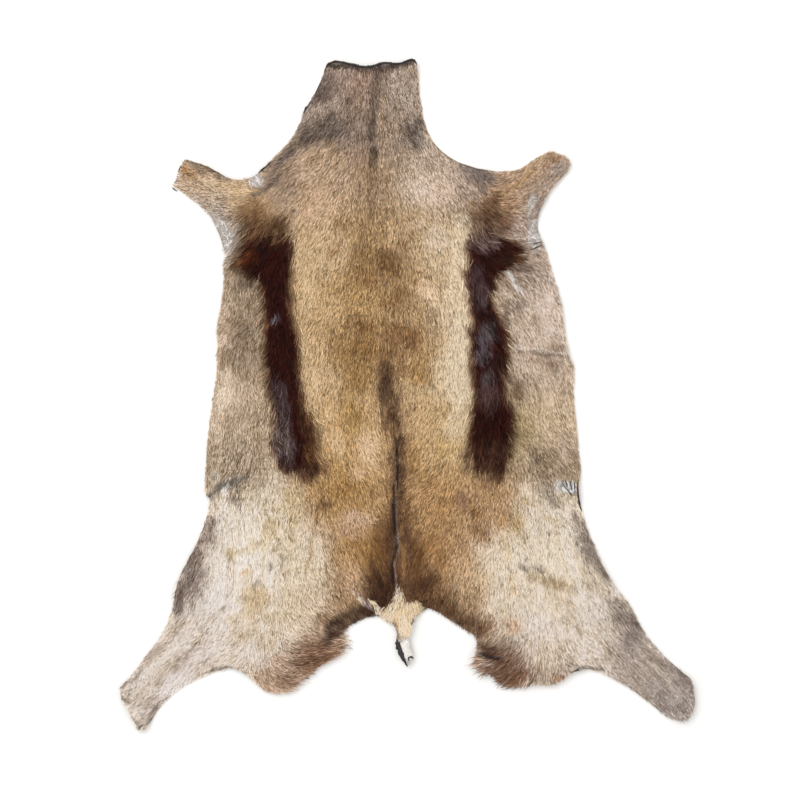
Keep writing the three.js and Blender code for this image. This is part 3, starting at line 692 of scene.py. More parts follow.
def paintCoat():
    # Edges wander, so that no mark is a plain oval
    x = gridX + 6 * softNoise(30, 11) + 4 * softNoise(9, 12)
    y = gridY + 6 * softNoise(30, 13) + 5 * softNoise(9, 14)
    coat = blended(coatGround)
    cloudy = 1 + sum(strength * softNoise(size, seed) for size, seed, strength in paint["clouds"])
    unevenWidth, unevenAmount = softNoise(17, 19), softNoise(11, 20)
    # Bands of light and dark run on down the hair where it is silky
    banded = 1 + (paint["bands"] + paint["silkyBands"] * silky) * longLocks
    coat *= (cloudy * banded)[..., None] ** np.array(paint["cloudTint"])

    def lay(colour, amount):
        nonlocal coat
        coat = coat + (linear(colour) - coat) * amount[..., None]

    def layStrokes(strokes, wander):
        bentX, bentY = gridX + wander * (x - gridX), gridY + wander * (y - gridY)
        for row in strokes:
            reach = row["wide"] / 2 * (1 + 0.4 * unevenWidth)
            edge = ease(1.6 * (1 - toLine(bentX, bentY, row["line"]) / reach))
            lay(row["colour"], edge * row["amount"] * (0.85 + 0.25 * unevenAmount))

    for row in coatMarks:
        lay(row["colour"], paint["marks"] * inPatch({**row, "soft": 0.9}, x, y))
    for row in mottles:
        lay(row["colour"], paint["mottles"] * inPatch(row, x, y))
    layStrokes(coatStrokes, 0.3)
    # Pale hair lets more light through than dark hair
    pale = ease((coat.mean(axis=-1) - paint["paleFrom"]) / paint["paleOver"])
    coat *= 1 + pale[..., None] * np.array(paint["paleLift"])
    stripes = np.broadcast_to(linear(stripeGround), coat.shape).copy()
    for row in stripeMarks:
        stripes += (linear(row["colour"]) - stripes) * inPatch(row, x, y)[..., None]
    edgeX = gridX + 3.5 * softNoise(10, 15)
    edgeY = gridY + 6 * softNoise(14, 16)
    share = np.maximum(
        inStripe(leftStripe, 20, 64, edgeX, edgeY), inStripe(rightStripe, 20, 42, edgeX, edgeY)
    )
    # The two hairs mingle at the edge, through dull brown
    stripes += (linear(paint["mingled"]) - stripes) * (1 - share[..., None])
    coat = np.exp(np.log(coat) + (np.log(stripes) - np.log(coat)) * share[..., None])
    layStrokes(foldStrokes, 0.1)
    return coat, share


coatColour, stripeShare = paintCoat()
say("coat colours laid")


# Materials
def addNode(tree, kind, settings=None, links=None):
    # Adds a node, sets its values and sockets, and links its inputs
    # A whole number stands for a socket where several share a name
    node = tree.nodes.new(kind)
    for key, value in (settings or {}).items():
        if isinstance(key, int) or key in node.inputs:
            node.inputs[key].default_value = value
        else:
            setattr(node, key, value)
    for key, source in (links or {}).items():
        tree.links.new(source, node.inputs[key])
    return node


def newMaterial(name):
    # With the place on the piece, in metres, for its patterns
    material = bpy.data.materials.new(name)
    material.use_nodes = True
    tree = material.node_tree
    tree.nodes.clear()
    return material, tree, addNode(tree, "ShaderNodeTexCoord").outputs["Object"]


def finished(material, tree, shader):
    addNode(tree, "ShaderNodeOutputMaterial", {}, {"Surface": shader.outputs["BSDF"]})
    return material


def tone(colour):
    return (*linear(colour), 1.0)


# Straight guard hair, combed flat: keratin is a little glossy, so locks catch the light on their backs
guardHair = {
    "roughLow": 0.5, "roughHigh": 0.75, "gloss": 0.18, "sheen": 0.03, "tint": "#FFF1DC", "streak": 0.9,
    "vary": 0.15,
}
# Long flank hair, dark and oily: smoother, with a cool shine where it turns to the sky
stripeHair = {
    "roughLow": 0.35, "roughHigh": 0.55, "gloss": 0.06, "sheen": 0.0, "tint": "#C9CCE6", "streak": 1.2,
    "vary": 0.25,
}


def hairMaterial(name, look):
    material, tree, place = newMaterial(name)
    painted = addNode(tree, "ShaderNodeVertexColor", {"layer_name": "hairTone"})
    # A real hair is 0.1 mm, too fine to show, so the streaks are as wide as a few dozen hairs
    streaks = addNode(
        tree, "ShaderNodeTexNoise",
        {"Scale": 1 / (look["streak"] * mm), "Detail": 3.0, "Roughness": 0.6},
        {"Vector": place},
    )
    shade = addNode(
        tree, "ShaderNodeMapRange",
        {"From Min": 0.3, "From Max": 0.7, "To Min": 1 - look["vary"], "To Max": 1 + look["vary"]},
        {"Value": streaks.outputs["Fac"]},
    )
    coloured = addNode(
        tree, "ShaderNodeMix",
        {"data_type": "RGBA", "blend_type": "MULTIPLY", "Factor": 1.0},
        {6: painted.outputs["Color"], 7: shade.outputs["Result"]},
    )
    rough = addNode(
        tree, "ShaderNodeMapRange",
        {"From Min": 0.3, "From Max": 0.7, "To Min": look["roughLow"], "To Max": look["roughHigh"]},
        {"Value": streaks.outputs["Fac"]},
    )
    shader = addNode(
        tree, "ShaderNodeBsdfPrincipled",
        {
            "IOR": 1.55, "Specular IOR Level": look["gloss"], "Sheen Weight": look["sheen"],
            "Sheen Roughness": 0.5, "Sheen Tint": tone(look["tint"]),
        },
        {"Base Color": coloured.outputs[2], "Roughness": rough.outputs["Result"]},
    )
    addNode(tree, "ShaderNodeOutputMaterial", {}, {"Surface": shader.outputs["BSDF"]})
    return material


# Alum-tanned skin, scraped and dried: smooth pale grain with fine pores where the hair is worn off
grainSide = {
    "pore": 1.6, "wrinkle": 9.0, "rough": 0.5, "bump": 0.7, "crinkle": 11.0, "crinkleAndGlintColour": "#F7F3EF",
}
# The flesh side is buffed to a nap, chalky and soft
fleshSide = {
    "colours": ("#B9A68F", "#CDBFAE"), "from": (0.36, 0.62), "blotchSize": 60.0, "uneven": 0.6,
    "reliefSize": 0.8, "detail": 2.0, "reliefUneven": 0.5, "bump": 0.4, "deep": 0.4,
    "rough": 0.9, "sheen": 0.35,
}
# Where it was cut and dried stiff the edge is dark and hard, like rawhide
driedEdge = {
    "colours": ("#15110F", "#453B35"), "from": (0.5, 0.75), "blotchSize": 3.0, "uneven": 0.7,
    "reliefSize": 3.0, "detail": 5.0, "reliefUneven": 0.7, "bump": 0.6, "deep": 0.8,
    "rough": 0.45, "sheen": 0.0,
}
# Bare skin drawn tight over a crease dries white and shiny; part of that white is painted highlight on the
# crease
paleCreaseAndGlint = {
    **driedEdge, "colours": ("#EFEBE7", "#C9C1BA"), "blotchSize": 4.0, "reliefSize": 4.0, "rough": 0.3,
}


def grainMaterial():
    material, tree, place = newMaterial("alumTannedGrainSide")
    painted = addNode(tree, "ShaderNodeVertexColor", {"layer_name": "skinTone"})
    pores = addNode(
        tree, "ShaderNodeTexVoronoi",
        {"Scale": 1 / (grainSide["pore"] * mm)},
        {"Vector": place},
    )
    wrinkles = addNode(
        tree, "ShaderNodeTexNoise",
        {"Scale": 1 / (grainSide["wrinkle"] * mm), "Detail": 6.0, "Roughness": 0.65},
        {"Vector": place},
    )
    shade = addNode(
        tree, "ShaderNodeMapRange",
        {"From Min": 0.3, "From Max": 0.7, "To Min": 0.72, "To Max": 1.2},
        {"Value": wrinkles.outputs["Fac"]},
    )
    coloured = addNode(
        tree, "ShaderNodeMix",
        {"data_type": "RGBA", "blend_type": "MULTIPLY", "Factor": 1.0},
        {6: painted.outputs["Color"], 7: shade.outputs["Result"]},
    )
    # Pale lines where the thin skin creased as it dried, their white partly painted highlight on the crinkles
    creases = addNode(
        tree, "ShaderNodeTexNoise",
        {"Scale": 1 / (grainSide["crinkle"] * mm), "Detail": 3.0, "Roughness": 0.6, "Distortion": 0.8},
        {"Vector": place},
    )
    offMiddle = addNode(
        tree, "ShaderNodeMath", {"operation": "SUBTRACT", 1: 0.5}, {0: creases.outputs["Fac"]}
    )
    near = addNode(tree, "ShaderNodeMath", {"operation": "ABSOLUTE"}, {0: offMiddle.outputs["Value"]})
    line = addNode(
        tree, "ShaderNodeMapRange",
        {"From Min": 0.0, "From Max": 0.03, "To Min": 0.75, "To Max": 0.0},
        {"Value": near.outputs["Value"]},
    )
    onBare = addNode(
        tree, "ShaderNodeMath",
        {"operation": "MULTIPLY"},
        {0: line.outputs["Result"], 1: painted.outputs["Alpha"]},
    )
    creased = addNode(
        tree, "ShaderNodeMix",
        {"data_type": "RGBA", 7: tone(grainSide["crinkleAndGlintColour"])},
        {0: onBare.outputs["Value"], 6: coloured.outputs[2]},
    )
    height = addNode(
        tree, "ShaderNodeMath",
        {"operation": "MULTIPLY_ADD", 1: 0.35},
        {0: pores.outputs["Distance"], 2: wrinkles.outputs["Fac"]},
    )
    bump = addNode(
        tree, "ShaderNodeBump",
        {"Strength": grainSide["bump"], "Distance": 0.8 * mm},
        {"Height": height.outputs["Value"]},
    )
    shader = addNode(
        tree, "ShaderNodeBsdfPrincipled",
        {"Roughness": grainSide["rough"], "IOR": 1.5},
        {"Base Color": creased.outputs[2], "Normal": bump.outputs["Normal"]},
    )
    return finished(material, tree, shader)


def plainMaterial(name, look):
    # Blotched from one colour to the other, with a fine relief
    material, tree, place = newMaterial(name)
    blotches = addNode(
        tree, "ShaderNodeTexNoise",
        {"Scale": 1 / (look["blotchSize"] * mm), "Detail": 5.0, "Roughness": look["uneven"]},
        {"Vector": place},
    )
    relief = addNode(
        tree, "ShaderNodeTexNoise",
        {
            "Scale": 1 / (look["reliefSize"] * mm), "Detail": look["detail"],
            "Roughness": look["reliefUneven"],
        },
        {"Vector": place},
    )
    ramp = addNode(tree, "ShaderNodeValToRGB", {}, {"Fac": blotches.outputs["Fac"]})
    for stop, at, colour in zip(ramp.color_ramp.elements, look["from"], look["colours"]):
        stop.position = at
        stop.color = tone(colour)
    bump = addNode(
        tree, "ShaderNodeBump",
        {"Strength": look["bump"], "Distance": look["deep"] * mm},
        {"Height": relief.outputs["Fac"]},
    )
    shader = addNode(
        tree, "ShaderNodeBsdfPrincipled",
        {"Roughness": look["rough"], "IOR": 1.5, "Sheen Weight": look["sheen"], "Sheen Roughness": 0.6},
        {"Base Color": ramp.outputs["Color"], "Normal": bump.outputs["Normal"]},
    )
    return finished(material, tree, shader)


# Pieces
def newPiece(name, corners, faces, materials, faceMaterial=None):
    # A mesh from arrays of corners and triangles, in millimetres
    mesh = bpy.data.meshes.new(name)
    corners = np.asarray(corners, np.float32)
    faces = np.asarray(faces, np.int32)
    mesh.vertices.add(len(corners))
    mesh.vertices.foreach_set("co", (corners * mm).ravel())
    mesh.loops.add(faces.size)
    mesh.loops.foreach_set("vertex_index", faces.ravel())
    mesh.polygons.add(len(faces))
    mesh.polygons.foreach_set("loop_start", np.arange(0, faces.size, faces.shape[1], dtype=np.int32))
    if faceMaterial is not None:
        mesh.polygons.foreach_set("material_index", np.asarray(faceMaterial, np.int32))
    for material in materials:
        mesh.materials.append(material)
    mesh.update(calc_edges=True)
    mesh.validate()
    mesh.shade_smooth()
    piece = bpy.data.objects.new(name, mesh)
    bpy.context.scene.collection.objects.link(piece)
    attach(piece, "root")
    return piece


def paintPoints(piece, layer, colours, alpha=1.0):
    colours = np.column_stack([colours, np.broadcast_to(alpha, len(colours))]).astype(np.float32)
    attribute = piece.data.color_attributes.new(layer, "FLOAT_COLOR", "POINT")
    attribute.data.foreach_set("color", colours.ravel())


# The tanned skin itself: one thin sheet with the solid's folds and holes
tannedSkin = {
    "pointsApart": 6.0,
    "drawnIn": 1.4,  # the hair hangs over the cut edge by this much
    "grain": "#A0968E",
    "tear": "#DAD8D6",
    "tail": "#E2DDD6",
    "rootShade": 0.5,
    "rootTint": (1.08, 1.0, 0.86),
    "tearAt": {"x": 240, "y": -136, "wide": 90, "tall": 70},
    "tailAt": {"x": 0, "y": -376, "wide": 60, "tall": 90},
}


def wornMap():
    worn = np.zeros(gridX.shape)
    wobble = 0.25 * softNoise(7, 21) + 0.2 * softNoise(3.5, 22)
    for row in barePatches:
        worn = np.maximum(worn, row["worn"] * ease(1.6 * (inPatch({**row, "soft": 1.0}) + wobble) - 0.1))
    return worn


def skinPiece():
    slopeY, slopeX = np.gradient(inside, sheet["spacing"])
    edges, points = [], []
    for loop in cutEdges:
        x, y = loop.T
        x = x + tannedSkin["drawnIn"] * read(slopeX, x, y)
        y = y + tannedSkin["drawnIn"] * read(slopeY, x, y)
        first = len(points)
        points += list(zip(x, y))
        edges += [(first + k, first + (k + 1) % len(loop)) for k in range(len(loop))]
    apart = tannedSkin["pointsApart"]
    dice = np.random.default_rng(5)
    fieldX, fieldY = np.meshgrid(
        np.arange(gridLow[0], gridHigh[0], apart), np.arange(gridLow[1], gridHigh[1], apart * 0.866)
    )
    fieldX[1::2] += apart / 2
    fieldX += dice.uniform(-0.5, 0.5, fieldX.shape)
    deep = read(inside, fieldX, fieldY) > tannedSkin["drawnIn"] + 2.6
    points += list(zip(fieldX[deep], fieldY[deep]))
    flat, _, triangles, *_ = delaunay_2d_cdt(points, edges, [], 1, 1e-4, False)
    flat = np.array([p[:] for p in flat])
    triangles = np.array(triangles)
    x, y = flat.T
    centreX, centreY = x[triangles].mean(axis=1), y[triangles].mean(axis=1)
    triangles = triangles[read(inside, centreX, centreY) > 0.3 * tannedSkin["drawnIn"]]
    a, b, c = (flat[triangles[:, k]] for k in range(3))
    turned = (b[:, 0] - a[:, 0]) * (c[:, 1] - a[:, 1]) - (b[:, 1] - a[:, 1]) * (c[:, 0] - a[:, 0]) < 0
    triangles[turned] = triangles[turned][:, ::-1]
    under = np.maximum(read(underside, x, y), 0)
    top = under + sheet["skinThick"]
    count = len(flat)
    used = {}
    for t in triangles:
        for p, q in ((t[0], t[1]), (t[1], t[2]), (t[2], t[0])):
            used[(p, q)] = True
    rim = [(p, q) for p, q in used if (q, p) not in used]
    sides = [(p, p + count, q + count) for p, q in rim] + [(p, q + count, q) for p, q in rim]
    faces = np.vstack([triangles, triangles[:, ::-1] + count, np.array(sides)])
    which = np.repeat([0, 1, 2], [len(triangles), len(triangles), len(sides)])
    corners = np.vstack([np.column_stack([x, y, top]), np.column_stack([x, y, under])])
    grain = grainMaterial()
    flesh, cutEdge = (plainMaterial("buffedFleshSide", fleshSide) for _ in range(2))
    piece = newPiece("hide_skin", corners, faces, [grain, flesh, cutEdge], which)
    bare = ease(2 * read(worn, x, y))[:, None]
    # Where hair grows, the skin takes the coat's colour, darkened and warmed as painted shade between the
    # roots
    roots = read(coatColour, x, y) * tannedSkin["rootShade"] * np.array(tannedSkin["rootTint"])
    grey = inPatch(tannedSkin["tearAt"], x, y)[:, None]
    tail = inPatch(tannedSkin["tailAt"], x, y)[:, None]
    leather = linear(tannedSkin["grain"]) * (1 - grey) + linear(tannedSkin["tear"]) * grey
    leather = leather * (1 - tail) + linear(tannedSkin["tail"]) * tail
    skinTone = roots * (1 - bare) + leather * bare
    # The layer's alpha says how bare the skin is
    paintPoints(piece, "skinTone", np.vstack([skinTone, skinTone]), np.tile(bare[:, 0], 2))
    return piece


# The coat: hairs as narrow tapering blades, rooted in the skin and lying along it
# Hair length by place, over the ground length of the back
hairLengths = table(
    "x y wide tall turn length",
    (-60, 440, 320, 260, 0, 11),  # neck
    (-290, 310, 150, 110, 0, 8),  # left foreleg
    (200, 325, 150, 110, 0, 8),  # right foreleg
    (-380, -440, 190, 170, 0, 9),  # left hind leg
    (370, -430, 210, 170, 0, 9),  # right hind leg
    (-240, -270, 220, 220, 0, 16),  # left haunch
    (220, -280, 220, 220, 0, 16),  # right haunch
    (-110, -370, 160, 90, 30, 19),  # left rump
    (140, -385, 170, 100, -20, 19),  # right rump
    (-230, 264, 90, 60, 0, 20),  # left elbow
    (130, 274, 90, 50, 0, 18),  # right elbow
    (-36, 0, 30, 110, 4, 7),  # back fold, high
    (-20, -165, 26, 260, 4, 5.5),  # back fold, low
    (205, 66, 100, 16, -8, 6),  # pleat
    (158, 166, 40, 50, 0, 8),  # scratch
    (0, -370, 50, 90, 0, 5),  # tail
)
groundLength = 13.0
# Where the coat is ruffled into coarser, deeper locks
ruffled = table(
    "x y wide tall turn by",
    (-256, 76, 100, 110, 0, 2.2),  # left flank
    (-262, -100, 90, 120, 0, 1.0),  # left flank, low
    (206, 32, 100, 70, 0, 0.9),  # right flank
    (-140, 396, 110, 70, 20, 1.1),  # neck, left
    (10, 400, 60, 60, 0, 0.7),  # neck, right
    (-240, -250, 190, 220, 0, 0.2),  # left haunch
    (200, -260, 160, 160, 0, 0.2),  # right haunch
    (200, 120, 100, 90, 0, -0.4),  # right flank, satin
    (-186, -50, 60, 160, 8, 1.5),  # stripes' sheen, left
    (122, 70, 60, 120, 0, 1.5),  # stripes' sheen, right
    (-360, -420, 180, 120, 40, 0.2),  # left hind leg
    (-326, -280, 70, 180, -20, 0.6),  # left rim
    (-10, -270, 260, 150, 0, 1.2),  # rump
    (-150, -396, 120, 60, 30, 0.8),  # fringe, left
    (160, -410, 130, 60, -10, 0.8),  # fringe, right
    (-230, 262, 100, 70, 0, 0.6),  # left elbow
    (132, 272, 90, 50, 0, 0.6),  # right elbow
)


def lengthMap():
    length = np.full(gridX.shape, groundLength)
    for row in hairLengths:
        length += (row["length"] - length) * inPatch(row)
    return length * (1 - 0.55 * worn)


# Where the hair's tips hang further over the cut edge
longTips = table(
    "x y wide tall turn by",
    (-108, -382, 50, 30, 10, 4),  # left
    (-106, -368, 20, 14, 0, 2),  # left, upper
    (120, -404, 50, 40, 0, 4),  # right
    (150, -430, 40, 24, 0, 2.5),  # right, low
    (-346, -282, 20, 24, 0, 3),  # left rim
)


def ruffleMap():
    return sum(row["by"] * inPatch(row) for row in ruffled)


def ahead(field, reach):
    # A map as the hair shows it, since each hair is seen some way down from its root
    return read(field, gridX + reach * lieX, gridY + reach * lieY)


def plantHair(look, share, dice):
    # Roots are dealt out evenly over the share of the skin that the piece covers
    total = np.cumsum(share.ravel())
    count = int(look["toSquareCm"] * total[-1] * sheet["spacing"] ** 2 / 100)
    cell = np.searchsorted(total, (np.arange(count) + dice.random(count)) / count * total[-1])
    cell = np.minimum(cell, total.size - 1)
    x = gridX.ravel()[cell] + sheet["spacing"] * dice.uniform(-0.5, 0.5, count)
    y = gridY.ravel()[cell] + sheet["spacing"] * dice.uniform(-0.5, 0.5, count)
    keep = read(inside, x, y) > 0.4
    return x[keep], y[keep]


def growHair(x, y, look, dice):
    # The places that each hair passes, from its root to its tip
    count, steps = len(x), look["steps"]
    length = look.get("length", read(hairLength, x, y)) * look["longer"] * dice.uniform(0.7, 1.15, count)
    stray = np.radians(dice.normal(0, look["stray"], count))
    curl = np.radians(dice.normal(0, look["curl"], count))
    path = [(x, y)]
    for k in range(steps):
        if "fan" in look:
            aimX, aimY = look["fan"](x, y)
        else:
            aimX, aimY = read(lieX, *path[-1]), read(lieY, *path[-1])
        turn = stray + curl * (k + 1) / steps
        stepX = (aimX * np.cos(turn) - aimY * np.sin(turn)) * length / steps
        stepY = (aimX * np.sin(turn) + aimY * np.cos(turn)) * length / steps
        path.append((path[-1][0] + stepX, path[-1][1] + stepY))
    pathX, pathY = (np.array([p[k] for p in path]) for k in (0, 1))
    # Neighbours lean together towards the ridge of their lock
    along = np.linspace(0, 1, steps + 1)[:, None]
    pathX += along * look["gather"] * read(lockSlopeX, x, y)
    pathY += along * look["gather"] * read(lockSlopeY, x, y)
    # No hair reaches much past the cut edge
    allowed = look["overhang"] * (1 + read(tipReach, x, y))
    over = -read(inside, pathX[-1], pathY[-1]) - dice.exponential(1, count) * allowed
    shorten = np.clip(1 - np.maximum(over, 0) / length, 0.15, 1)
    pathX = x + (pathX - x) * shorten
    pathY = y + (pathY - y) * shorten
    # Each rises out of the skin and bends over its neighbours, within the depth of the solid's coat
    rise = read(coatDepth, x, y) * look["stands"] * dice.uniform(0.3, 1.0, count)
    rise = np.minimum(rise * (1 + 0.3 * read(locks, x, y)), 0.7 * length)
    pathZ = np.maximum(read(underside, pathX, pathY), 0) + sheet["skinThick"] - sheet["rootDeep"]
    pathZ = pathZ + rise * np.sin(0.5 * math.pi * np.minimum(along * 1.25, 1.1)) * shorten**0.5
    return pathX, pathY, pathZ


def bladesAlong(pathX, pathY, pathZ, look, dice):
    # Each blade lies across its own heading, tipped a little to one side
    steps, count = look["steps"], pathX.shape[1]
    headX, headY = pathX[-1] - pathX[0], pathY[-1] - pathY[0]
    size = np.maximum(np.hypot(headX, headY), 1e-6)
    roll = np.radians(dice.normal(0, look["roll"], count))
    half = look["width"] / 2 * dice.uniform(0.7, 1.3, count)
    acrossX, acrossY = -headY / size * np.cos(roll) * half, headX / size * np.cos(roll) * half
    acrossZ = np.sin(roll) * half
    columns = [(pathX[0], pathY[0], pathZ[0])]
    for k in range(1, steps):
        slim = 1 - 0.45 * (k - 1) / max(1, steps - 1)
        for way in (slim, -slim):
            columns.append((pathX[k] + way * acrossX, pathY[k] + way * acrossY, pathZ[k] + way * acrossZ))
    columns.append((pathX[-1], pathY[-1], pathZ[-1]))
    corners = np.stack([np.column_stack(c) for c in columns], axis=1)
    each = len(columns)
    shape = [(0, 2, 1)]
    for k in range(1, steps - 1):
        shape += [(2 * k - 1, 2 * k, 2 * k + 2), (2 * k - 1, 2 * k + 2, 2 * k + 1)]
    shape = np.array([*shape, (each - 3, each - 2, each - 1)])
    faces = (np.arange(count)[:, None, None] * each + shape[None]).reshape(-1, 3)
    return corners.reshape(-1, 3), faces, shape


hairShades = {
    # Width of the strands, how far they run each way, and the seed
    "fine": (0.6, 2.8, 9),
    "gaps": (1.3, 4.5, 10),
    "drawnOut": (1.0, 12.0, 24),
    "gapWidth": 0.2,
    "paleBy": 1.3,
    "whereSilky": {"drawnOut": 0.7, "gapsLess": 0.75, "hairsLess": 0.4},
    "shadeTint": (0.84, 1.0, 1.22),  # in the shade a hair looks warmer
    "brightest": 0.97,
}


def dyeHair(pathX, pathY, look, dice):
    # Coloured for the place where it shows, darker at the root and paler at the tip
    steps, count = look["steps"], pathX.shape[1]
    seen = dice.uniform(0.45, 0.8, count)
    seenX, seenY = (path[0] + seen * (path[-1] - path[0]) for path in (pathX, pathY))
    own = look["tint"](seenX, seenY) if "tint" in look else read(coatColour, seenX, seenY)
    # Strands of light and dark hair, painted shade in thin gaps between them, and broader locks
    kinds = ("fine", "gaps", "drawnOut")
    fine, gaps, drawnOut = (strands(*hairShades[kind], seenX, seenY) for kind in kinds)
    silk, change = read(silky, seenX, seenY), hairShades["whereSilky"]
    fine = fine + change["drawnOut"] * silk * (drawnOut - fine)
    gaps = np.exp(-((gaps / hairShades["gapWidth"]) ** 2)) * (1 - change["gapsLess"] * silk)
    coarser = 1 + read(ruffle, pathX[0], pathY[0])
    shade = 1 + look["fineShade"] * fine * coarser**0.5 - look["gapShade"] * gaps * coarser**0.5
    shade = shade + look["broadShade"] * coarser * read(broadLocks, pathX[0], pathY[0])
    shade *= 1 + look["hairShade"] * (1 - change["hairsLess"] * silk) * dice.normal(0, 1, count)
    shade = np.where(dice.random(count) < look["paleHairs"], shade * hairShades["paleBy"], shade)
    shade = np.clip(shade, 0.2, 2)[:, None]
    own = own * look["gain"] * np.where(shade < 1, shade ** np.array(hairShades["shadeTint"]), shade)
    inBetween = np.repeat(np.linspace(0.95, 1.02, max(1, steps - 1)), 2)
    ramp = np.concatenate([[look["root"]], inBetween, [look["tip"]]])
    colours = np.maximum(own[:, None, :] * ramp[None, :, None], 0.001)
    # A hair too bright to show keeps its hue
    colours /= np.maximum(colours.max(axis=2, keepdims=True) / hairShades["brightest"], 1)
    return colours.reshape(-1, 3)


def hairPiece(name, look, share, material):
    dice = np.random.default_rng(look["seed"])
    x, y = plantHair(look, share, dice)
    pathX, pathY, pathZ = growHair(x, y, look, dice)
    corners, faces, shape = bladesAlong(pathX, pathY, pathZ, look, dice)
    piece = newPiece(name, corners, faces, [material])
    paintPoints(piece, "hairTone", dyeHair(pathX, pathY, look, dice))
    layOutBlades(piece, len(x), shape, look["steps"])
    say(f"{name}: {len(x)} hairs, {len(faces)} faces")
    return piece


def layOutBlades(piece, count, shape, steps):
    # Every hair has its own upright cell of the map, so its root and tip keep their colours
    across = math.ceil(math.sqrt(count * 14 / 3))
    down = math.ceil(count / across)
    spots = [(0.5, 0.02)]
    for k in range(1, steps):
        spots += [(0.0, k / steps), (1.0, k / steps)]
    spots = np.array([*spots, (0.5, 0.98)])[shape.ravel()]
    hair = np.arange(count)
    column, row = hair % across, hair // across
    u = (column[:, None] + spots[None, :, 0]) / across
    v = (row[:, None] + spots[None, :, 1]) / down
    layer = piece.data.uv_layers.new(name="OFBake")
    layer.data.foreach_set("uv", np.stack([u, v], axis=-1).astype(np.float32).ravel())


worn = wornMap()
hairLength = lengthMap()
ruffle = ruffleMap()
tipReach = sum(row["by"] * inPatch(row) for row in longTips)
lockSlopeY, lockSlopeX = np.gradient(smoothed(locks, 1), sheet["spacing"])
skin = skinPiece()
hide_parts("hide")
say("skin laid out")

coatLook = {
    "steps": 2, "toSquareCm": 92, "longer": 0.74, "width": 0.8, "stray": 7, "curl": 9, "roll": 22,
    "gather": 1.7, "overhang": 1.2, "stands": 1.0, "gain": 1.38, "fineShade": 0.38, "broadShade": 0.09,
    "gapShade": 0.34, "hairShade": 0.42, "paleHairs": 0.08, "root": 0.4, "tip": 1.15,
}
stripeLook = {
    **coatLook, "steps": 4, "toSquareCm": 60, "longer": 2.0, "width": 1.1, "curl": 22, "gather": 6,
    "overhang": 3, "stands": 1.2, "gain": 1.05, "fineShade": 0.4, "broadShade": 0.4, "hairShade": 0.45,
    "paleHairs": 0.03, "tip": 1.3, "seed": 61,
}

fawnHair = hairMaterial("fawnGuardHair", guardHair)
darkHair = hairMaterial("oilyStripeHair", stripeHair)

hairy = ease(inside / 2.0) * (1 - 0.98 * worn) ** 1.4
darkHere = ahead(stripeShare, 0.5 * groundLength * stripeLook["longer"])
ground = hairy * (1 - ease((darkHere - 0.35) / 0.5))
innerLeft, innerRight = -192, 124
upper, lower, middle = 246, -150, -14
front = gridY > upper
rear = gridY <= lower
between = (gridX > innerLeft) & (gridX < innerRight)
coats = {
    "neck_coat": front,
    "back_coat": ~front & ~rear & between,
    "flank_coat": ~front & ~rear & ~between,
    "left_haunch_coat": rear & (gridX < middle),
    "right_haunch_coat": rear & (gridX >= middle),
}
furs = [
    hairPiece(name, {**coatLook, "seed": 31 + number}, ground * where, fawnHair)
    for number, (name, where) in enumerate(coats.items())
]
furs.append(hairPiece("stripe_hair", stripeLook, hairy * ease(1.5 * darkHere), darkHair))

# The rump's hair hangs over the cut edge on both sides of the tail
fringeLook = {
    **coatLook, "steps": 4, "toSquareCm": 60, "longer": 1.6, "width": 1.0, "stray": 9, "curl": 16,
    "gather": 8, "overhang": 2.2, "stands": 1.0, "fineShade": 0.4, "broadShade": 0.3, "tip": 0.85, "seed": 71,
}
fringePlaces = table(
    "x y wide tall turn",
    (-112, -364, 50, 30, 20),  # left, upper
    (-128, -384, 80, 44, 32),  # left
    (-176, -424, 80, 40, 20),  # left, low
    (132, -396, 66, 56, 0),  # right
    (166, -420, 90, 44, -6),  # right, low
    (-346, -284, 30, 50, 0),  # left rim
)
fringeShare = np.clip(sum(inPatch(row) for row in fringePlaces), 0, 1) * ease(1 - inside / 34)
furs.append(hairPiece("rump_fringe", fringeLook, hairy * fringeShare, fawnHair))

# The stub of the tail, with a tuft of cream hair fanned out at its root
tuftLook = {
    **coatLook, "steps": 4, "toSquareCm": 120, "longer": 1.0, "length": 15, "width": 0.8, "stray": 7,
    "curl": 16, "gather": 3, "overhang": 4, "stands": 1.1, "gain": 1.75, "fineShade": 0.15, "broadShade": 0.1,
    "gapShade": 0.4, "hairShade": 0.12, "paleHairs": 0, "root": 0.8, "tip": 1.05, "seed": 81,
}
tuftPlaces = table(
    "x y wide tall turn",
    (-12, -298, 14, 40, 0),  # point
    (-10, -318, 46, 34, 0),  # middle
    (10, -312, 18, 22, 30),  # right wing
    (-26, -322, 24, 20, -20),  # left wing
    (-4, -338, 24, 34, 4),  # tail
)
strandPlaces = table(
    "x y wide tall turn",
    (-58, -306, 18, 6, -38),  # lock
    (-49, -316, 14, 8, -52),  # lock's end
    (-82, -297, 16, 3, -46),  # pale hairs
    (-77, -303, 12, 3, -46),  # pale hairs beside
)


def tuftFan(x, y):
    # Outwards from the middle of the tuft, and down
    way = np.radians(-91 + 1.1 * (x + 9) * ease((y + 350) / 30))
    return np.cos(way), np.sin(way)


def strandFan(x, y):
    way = np.radians(-44 - 30 * ease((x + 60) / 24))
    return np.cos(way), np.sin(way)


def creamHair(x, y):
    warm = ease(0.5 + 0.7 * softNoise(8, 83, x, y))[..., None]
    return linear("#D8C6A8") * warm + linear("#EBDFCC") * (1 - warm)


for name, places, fan in (("tail_tuft", tuftPlaces, tuftFan), ("tail_strands", strandPlaces, strandFan)):
    share = np.clip(sum(inPatch({**row, "soft": 0.4}) for row in places), 0, 1) * ease(inside)
    furs.append(hairPiece(name, {**tuftLook, "fan": fan, "tint": creamHair}, share, fawnHair))


